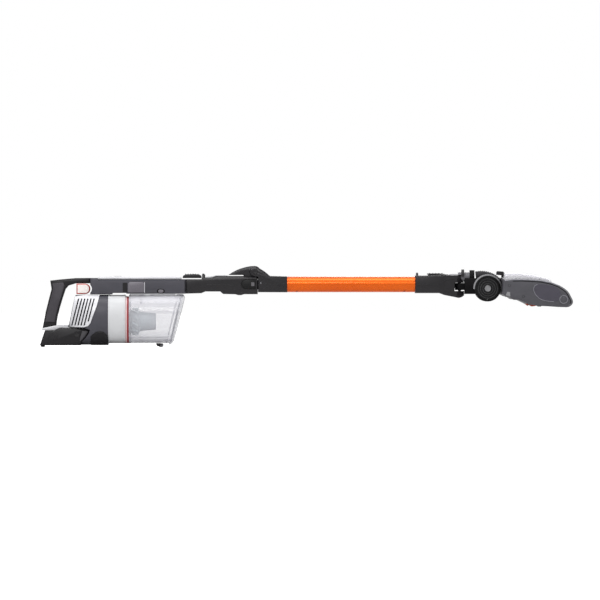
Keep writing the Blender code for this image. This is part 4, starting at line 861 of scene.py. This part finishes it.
for word, side in (("right", -1), ("left", 1)):
    line = [(976.0, 161.8), (1010.0, 161.8), (1030.0, 161.8)]
    bead(f"socket_line_{word}", "neck_socket", line, side, 1.4, 0.35, gloss_black, "lower_wand",
         "black_plastic")
    cheek = [(1040.0, 168.0), (1052.0, 174.0), (1070.0, 177.0), (1080.0, 177.0)]
    bead(f"neck_cheek_{word}", "neck_socket", cheek, side, 2.0, 0.6, gloss_black, "lower_wand",
         "black_plastic")
ribbed_hose("swivel_bellows", [(1081.0, 181.0), (1098.0, 181.0), (1116.0, 181.0)], 12.7, 9, pale_hose,
            "swivel_hose")

# ---- Wheels ------------------------------------------------------------------------------------------
# Black nylon wheels with stepped rings in their faces, pale grey rings on the step edges as painted
# highlights, and a moulded rubber tread, on a steel axle with a light grey cap at each end. Light grey
# guards stand inboard of them.

AXLE = (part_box("wheel_axle")[0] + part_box("wheel_axle")[1]) / 2
DROOP = radians(4.4)


def in_head(x, y, z):
    """A point of the floor head, from the axle's middle: x forward, y to the left, z up."""
    return AXLE + Vector((x * cos(DROOP) + z * sin(DROOP), y, z * cos(DROOP) - x * sin(DROOP))) * MM


tread = moulding("tread_rubber", (12, 12, 13), 0.62, shine=0.2)
wheel_black = moulding("wheel_moulding", (13, 13, 14), 0.26, shine=0.35)
wheel_line = moulding("wheel_line", (92, 92, 95), 0.3)
cap_grey = moulding("cap_grey", (138, 138, 140), 0.3)
light_grey = moulding("light_grey_moulding", (150, 150, 153), 0.34)
finish("wheel_guard_right wheel_guard_left", light_grey, bevel=0.4)
finish("wheel_axle", screw_steel)
WHEEL_IN, WHEEL_OUT = 32.0, 49.0
RING_STEPS = [(27.4, 0.0), (25.4, 0.0), (25.0, 1.6), (23.0, 1.6), (22.6, 0.7), (20.4, 0.7), (20.0, 2.4),
              (17.0, 2.4), (16.6, 1.2), (14.4, 1.2), (14.0, 2.6), (11.4, 2.6), (10.6, 0.9), (9.0, 0.6),
              (5.4, 0.6)]
TYRE_STEPS = [(0.3, 27.7, 0), (0.0, 31.0, 0), (1.2, 32.8, 0), (2.4, 33.5, 0.7), (5.8, 33.5, 1.0),
              (8.0, 33.5, 0.2), (11.2, 33.5, 1.0), (14.6, 33.5, 0.7), (15.8, 32.8, 0), (17.0, 31.0, 0),
              (16.7, 27.7, 0)]
TREADS = 40


def wheel(name, side):
    width = WHEEL_OUT - WHEEL_IN
    face = [(side * (width - depth), radius) for radius, depth in RING_STEPS]
    profile = [(0, 5.4), (0, 27.4)] + face
    body = f"wheel_{name.rsplit('_')[-1]}"
    disc = lathe("disc_" + body, (0, side * WHEEL_IN, 0), "y", profile, wheel_black, body, "black_plastic",
                 72, in_head, True)
    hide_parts(body)
    rings = []
    for distance, radius, notch in TYRE_STEPS:
        ring = []
        for k in range(TREADS * 4):
            turn = 2 * pi * k / (TREADS * 4) + 0.02 * (1 if distance > 8 else 0)
            reach = radius - (notch if k % 4 in (0, 1) else 0)
            ring.append((reach * cos(turn), side * (WHEEL_IN + distance), reach * sin(turn)))
        rings.append(ring)
    tyre = solid("tread_" + body, *skin(rings, True), tread, body, "tyre_rubber", in_head, angle=40)
    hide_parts(body.replace("wheel", "tyre"))
    # Painted highlights: pale grey rings on the edges of the steps in each wheel's face.
    for number, (radius, depth) in enumerate(((12.6, 2.7), (18.4, 2.5), (24.2, 1.7))):
        line = [(0.0, radius), (side * 0.5, radius + 0.2), (side * 0.5, radius + 0.7), (0.0, radius + 0.9)]
        spot = (0, side * (WHEEL_OUT - depth), 0)
        lathe(f"line_{body}_{number}", spot, "y", line, wheel_line, body, "black_plastic", 64, in_head,
              True)
    cap = [(0.0, 8.0), (side * 1.0, 7.8), (side * 1.5, 7.2), (side * 1.3, 5.2), (side * 1.0, 4.8),
           (side * 1.2, 0.2)]
    lathe("cap_" + body, (0, side * (WHEEL_OUT + 0.2), 0), "y", cap, cap_grey, body, "pale_grey_plastic",
          48, in_head)


both_sides(wheel, "wheel")
# The dirt path: over the axle, then down into the throat of the head.
THROAT = [(-32.5, 30.1), (-17, 32.6), (-2, 31.6), (12, 27.0), (22, 20.5), (31, 13.5), (38, 10.8),
          (48, 10.5)]
ribbed_hose("throat_bellows", THROAT, 12.7, 20, hose_rubber, "pitch_hose", in_head)

# ---- Floor head shell --------------------------------------------------------------------------------
# A slate chassis and cover between two end plates. Each plate has a dark seam under its top edge and a
# pale line along that edge, a shallow pocket with a pale line round its rim, the front roller's bearing
# cap and a softer bumper round the nose. The pale lines and the bumper's lighter grey are painted
# highlights.

head_grey = moulding("head_moulding", (80, 79, 85), 0.3, shine=0.45, coat=0.15)
pocket_grey = moulding("pocket_moulding", (76, 73, 84), 0.4, shine=0.4)
# Pale grey for the painted highlight lines on the end plates, and for the bearing rims.
highlight_and_rim_grey = moulding("highlight_and_rim_moulding", (150, 149, 158), 0.3)
bumper_highlight_grey = moulding("bumper_highlight_rubber", (112, 111, 115), 0.5, shine=0.35)
finish("head_cover", head_grey, bevel=0.5)
finish("head_chassis", slate, bevel=0.3)
finish("side_cap_right side_cap_left", head_grey, bevel=0.4)
finish("roller_motor", motor_alloy)
finish("drive_belt", tread)
TOP_LINE = [(39.5, 25.3), (59.8, 29.2), (83.0, 31.2), (106.3, 32.0), (132.1, 32.2), (158.1, 29.0),
            (179.4, 22.9), (192.8, 16.1), (201.0, 10.4)]
NOSE_LINE = [(207.5, 3.0), (212.7, -5.6), (216.6, -12.0), (218.1, -16.8), (218.0, -21.6), (215.5, -26.0),
             (209.4, -31.2)]


def inset(path, by):
    """An open path moved to its right-hand side."""
    moved = []
    for i, (x, z) in enumerate(path):
        ahead, behind = path[min(i + 1, len(path) - 1)], path[max(i - 1, 0)]
        run = Vector((ahead[0] - behind[0], ahead[1] - behind[1])).normalized()
        moved.append((x + run.y * by, z - run.x * by))
    return moved


POCKET = [(117.8, 16.6), (124.0, 20.0), (134.0, 21.6), (150.0, 21.4), (165.0, 18.6), (177.0, 13.0),
          (184.0, 6.0), (186.6, 0.5), (183.0, -6.0),
          (181.8, -13.0), (179.0, -18.5), (170.0, -20.9), (157.0, -20.9), (140.4, -19.0), (130.5, -14.6),
          (121.6, -7.0), (115.6, 4.0), (115.2, 10.0)]
HALF_HEAD = 130.0


def end_plate(name, side):
    word = name.rsplit("_")[-1]
    caps = "side_cap_right side_cap_left"
    seam = inset(TOP_LINE[1:] + NOSE_LINE[:-1], 5.6)
    bead(f"{name}_seam", caps, seam, side, 2.2, 0.12, deep_black, "head", "black_plastic", in_head)
    # Partly painted highlight: the bumper round the nose is a lighter grey for the highlight on its rounded
    # edge.
    bumper = inset(TOP_LINE[6:] + NOSE_LINE, 2.5)
    bead(f"{name}_bumper", caps, bumper, side, 3.6, 0.7, bumper_highlight_grey, "head", "pale_grey_plastic", in_head)
    pocket_edge = [(151.0 + (x - 151.0) * 1.03, 0.3 + (z - 0.3) * 1.06) for x, z in POCKET]
    plate(f"{name}_pocket_edge", pocket_edge, side * 129.4, side * 130.35, head_grey, "head",
          "head_plastic", 0.3, in_head)
    plate(f"{name}_pocket", POCKET, side * 129.6, side * 130.7, pocket_grey, "head", "head_plastic", 0.6,
          in_head)
    # Painted highlight: a pale line along the plate's top edge.
    bead(f"{name}_top_edge_highlight", caps, inset(TOP_LINE, 1.7), side, 1.8, 0.3, highlight_and_rim_grey, "head",
         "pale_grey_plastic", in_head)
    # Painted highlight: a pale line round the pocket's left and lower rim.
    glint = [(x - 0.4, z) for x, z in POCKET[1::-1] + POCKET[:10:-1]]
    rings = []
    for i, (x, z) in enumerate(glint):
        ahead, behind = glint[min(i + 1, len(glint) - 1)], glint[max(i - 1, 0)]
        run = Vector((ahead[0] - behind[0], ahead[1] - behind[1])).normalized()
        corners = [(0.6, 130.3), (0.4, 130.95), (-0.4, 130.95), (-0.6, 130.3)]
        rings.append([(x - run.y * across, side * y, z + run.x * across) for across, y in corners])
    solid(f"{name}_pocket_glint", *skin(rings), highlight_and_rim_grey, "head", "pale_grey_plastic", in_head)
    rim = [(0.0, 9.4), (side * 1.0, 9.6), (side * 1.0, 10.6), (0.0, 10.8)]
    lathe(f"{name}_bearing_rim", (194.0, side * HALF_HEAD, -13.4), "y", rim, highlight_and_rim_grey, "head",
          "pale_grey_plastic", 48, in_head, True)
    bearing = [(0.0, 10.4), (side * 0.8, 10.2), (side * 1.0, 9.2), (side * 0.5, 8.6), (side * 0.5, 7.0),
               (side * 1.1, 6.4), (side * 1.2, 0.2)]
    lathe(f"{name}_bearing_cap", (194.0, side * HALF_HEAD, -13.4), "y", bearing, head_grey, "head",
          "head_plastic", 48, in_head)
    foot = [(45.0, -14.6), (47.5, -5.0), (55.0, -5.0), (56.5, -16.4)]
    plate(f"{name}_foot_block", foot, side * 126.0, side * 130.4, light_grey, "head", "pale_grey_plastic",
          0.5, in_head)
    screw(f"{name}_screw_0", 52.0, side * HALF_HEAD, 12.0, side, "head", 2.6, in_head)
    screw(f"{name}_screw_1", 90.0, side * HALF_HEAD, -14.0, side, "head", 2.6, in_head)


both_sides(end_plate, "end_plate")

# ---- Head window -------------------------------------------------------------------------------------
# A smoked clear dome over the brush bay, one vacuum-bent sheet with rounded shoulders, held at the back
# by a sliding latch.

smoke_clear = clear_moulding("smoked_clear", (232, 231, 238), 0.3, 0.85, roughness=0.08)
finish("window_latch", black, bevel=0.4)
CROWN = [(38.6, 43.8), (47.0, 45.6), (56.0, 46.6), (66.0, 47.2), (76.5, 47.3), (88.0, 47.0), (98.0, 46.5),
         (110.0, 45.7), (120.9, 44.5), (130.0, 43.2), (137.0, 42.0), (146.0, 40.2), (152.4, 38.3),
         (157.0, 35.6), (160.0, 32.0)]
HALF_WINDOW = 95.0
WINDOW_ROWS = 56


def seat_height(x):
    for (x0, z0), (x1, z1) in zip(TOP_LINE, TOP_LINE[1:]):
        if x0 <= x <= x1:
            return z0 + (z1 - z0) * (x - x0) / (x1 - x0) + 0.4
    return TOP_LINE[0][1] + 0.4


window_rings = []
for x, z in [(38.6, seat_height(39.5))] + CROWN:
    seat = seat_height(max(x, 39.5))
    row = []
    for k in range(WINDOW_ROWS + 1):
        y = -HALF_WINDOW * cos(pi * k / WINDOW_ROWS)
        shoulder = (1 - (abs(y) / HALF_WINDOW) ** 9) ** 0.4
        row.append((x, y, seat + (z - seat) * shoulder))
    window_rings.append(row)
columns = WINDOW_ROWS + 1
window_faces = [(r * columns + k, r * columns + k + 1, (r + 1) * columns + k + 1, (r + 1) * columns + k)
                for r in range(len(window_rings) - 1) for k in range(WINDOW_ROWS)]
window = solid("window_dome", [p for row in window_rings for p in row], window_faces, smoke_clear, "head",
               "clear_plastic", in_head, angle=60)
sheet_wall = window.modifiers.new("sheet_wall", "SOLIDIFY")
sheet_wall.thickness = 0.0018
sheet_wall.offset = -1.0
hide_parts("head_window")
for number, y in enumerate((-60.0, 0.0, 60.0)):
    spine = [(62.0, 30.4), (84.0, 32.3), (106.0, 33.2), (132.0, 33.4), (150.0, 31.8), (150.0, 30.2),
             (132.0, 31.4), (106.0, 31.2), (62.0, 28.6)]
    plate(f"cover_spine_{number}", spine, y - 2.0, y + 2.0, slate, "head", "dark_plastic", 0.4, in_head)

# ---- Brush roll and soft roller ----------------------------------------------------------------------
# The brush is a black core set with orange nylon tufts in two chevron rows. In front of it turns a
# foam roller covered in short woven pile, with slightly paler stripes wound round it.

bristle = moulding("bristle_nylon", (214, 84, 40), 0.5, wear=0.0, uneven=0.3)
BRUSH_X, BRUSH_Z = 117.0, -15.5
core = [(-111.0, 4.4), (-107.0, 4.4), (-107.0, 16.5), (-104.0, 14.2), (104.0, 14.2), (107.0, 16.5),
        (107.0, 4.4), (112.0, 4.4)]
lathe("brush_core", (BRUSH_X, 0, BRUSH_Z), "y", core, deep_black, "brush_roll", "black_plastic", 40,
      in_head)
TUFT_PITCH, TUFT_ROWS, TUFT_SIDES, TUFT_REACH = 3.3, 4, 7, 102.0
axis = Vector((0, 1, 0))
tuft_points, tuft_faces = [], []
tufts = int(2 * TUFT_REACH / TUFT_PITCH)
for row in range(TUFT_ROWS):
    for n in range(tufts + 1):
        y = -TUFT_REACH + TUFT_PITCH * n
        turn = 2 * pi * row / TUFT_ROWS + abs(y) / TUFT_REACH * radians(75)
        out = Vector((cos(turn), 0, sin(turn)))
        side = Vector((-sin(turn), 0, cos(turn)))
        start = len(tuft_points)
        for radius, spread_by in ((13.6, 1.0), (17.5, 1.25), (21.4 + 0.35 * sin(n * 2.4 + row), 1.75)):
            for k in range(TUFT_SIDES):
                t = 2 * pi * k / TUFT_SIDES
                spray = 1.0 + (0.25 * sin(5 * t + n) if radius > 20 else 0)
                p = out * radius + side * spread_by * spray * cos(t) + axis * spread_by * spray * sin(t)
                tuft_points.append((BRUSH_X + p.x, y + p.y, BRUSH_Z + p.z))
        for level in range(2):
            low, high = start + level * TUFT_SIDES, start + (level + 1) * TUFT_SIDES
            tuft_faces += [(low + k, low + (k + 1) % TUFT_SIDES, high + (k + 1) % TUFT_SIDES, high + k)
                           for k in range(TUFT_SIDES)]
        tuft_faces.append(tuple(range(start + 2 * TUFT_SIDES, start + 3 * TUFT_SIDES)))
        tuft_faces.append(tuple(range(start, start + TUFT_SIDES)))
tuft_piece = solid("brush_tufts", tuft_points, tuft_faces, bristle, "brush_roll", "brush_bristle", in_head,
                   angle=40)
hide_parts("brush_roll")

pile, tree, shader = new_material("roller_pile")
place = place_of(tree)
wound = node(tree, "TexWave", {"Vector": place, "Scale": 38.0, "Distortion": 1.5, "Detail": 2.0},
             wave_type="BANDS", bands_direction="DIAGONAL")
stripes = node(tree, "MapRange", {"Value": wound.outputs["Fac"], "From Min": 0.45, "From Max": 0.55})
tree.links.new(mix(tree, stripes.outputs["Result"], tint((58, 57, 61)), tint((92, 90, 95))),
               shader.inputs["Base Color"])
fluff = node(tree, "TexNoise", {"Vector": place, "Scale": 1500.0, "Detail": 3.0})
relief = node(tree, "Bump", {"Height": fluff.outputs["Fac"], "Distance": 0.0005})
tree.links.new(relief.outputs["Normal"], shader.inputs["Normal"])
shader.inputs["Roughness"].default_value = 0.95
shader.inputs["Sheen Weight"].default_value = 0.4
ROLLER_X, ROLLER_Z, ROLLER_HALF = 195.1, -13.4, 120.4
roller_rings = [ring_of((ROLLER_X, 0, ROLLER_Z), "y", -ROLLER_HALF - 4.6, 4.2, 64)]
roller_rings.append(ring_of((ROLLER_X, 0, ROLLER_Z), "y", -ROLLER_HALF, 4.2, 64))
for k in range(81):
    y = -ROLLER_HALF + 2 * ROLLER_HALF * k / 80
    ring = []
    for n in range(64):
        t = 2 * pi * n / 64
        edge_drop = 0.9 if k in (0, 80) else 0.0
        reach = 19.45 - edge_drop + 0.22 * sin(7 * t + y * 0.8) + 0.12 * sin(23 * t - y * 2.1)
        ring.append((ROLLER_X + reach * cos(t), y, ROLLER_Z + reach * sin(t)))
    roller_rings.append(ring)
roller_rings.append(ring_of((ROLLER_X, 0, ROLLER_Z), "y", ROLLER_HALF, 4.2, 64))
roller_rings.append(ring_of((ROLLER_X, 0, ROLLER_Z), "y", ROLLER_HALF + 4.6, 4.2, 64))
roller = solid("pile_roller", *skin(roller_rings), pile, "soft_roller", "roller_pile", in_head, angle=60)
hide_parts("soft_roller")

# ---- Sole --------------------------------------------------------------------------------------------
# Under the head: a rubber squeegee lip behind the brush, a bright edge in front of it and shallow
# stiffening ribs across the rear of the chassis.

squeegee = [(136.2, -33.2), (138.4, -33.2), (138.0, -36.2), (136.8, -36.2)]
plate("squeegee_lip", squeegee, -104.0, 104.0, hose_rubber, "head", "hose_rubber", 0.3, in_head)
for number, (x, under) in enumerate(((50.0, -17.0), (58.0, -19.2), (72.0, -22.9), (84.0, -24.2))):
    rib = [(x, under + 1.5), (x + 1.6, under + 1.4), (x + 1.4, under - 1.0), (x + 0.2, under - 1.0)]
    plate(f"sole_rib_{number}", rib, -90.0, 90.0, slate, "head", "dark_plastic", 0.3, in_head)
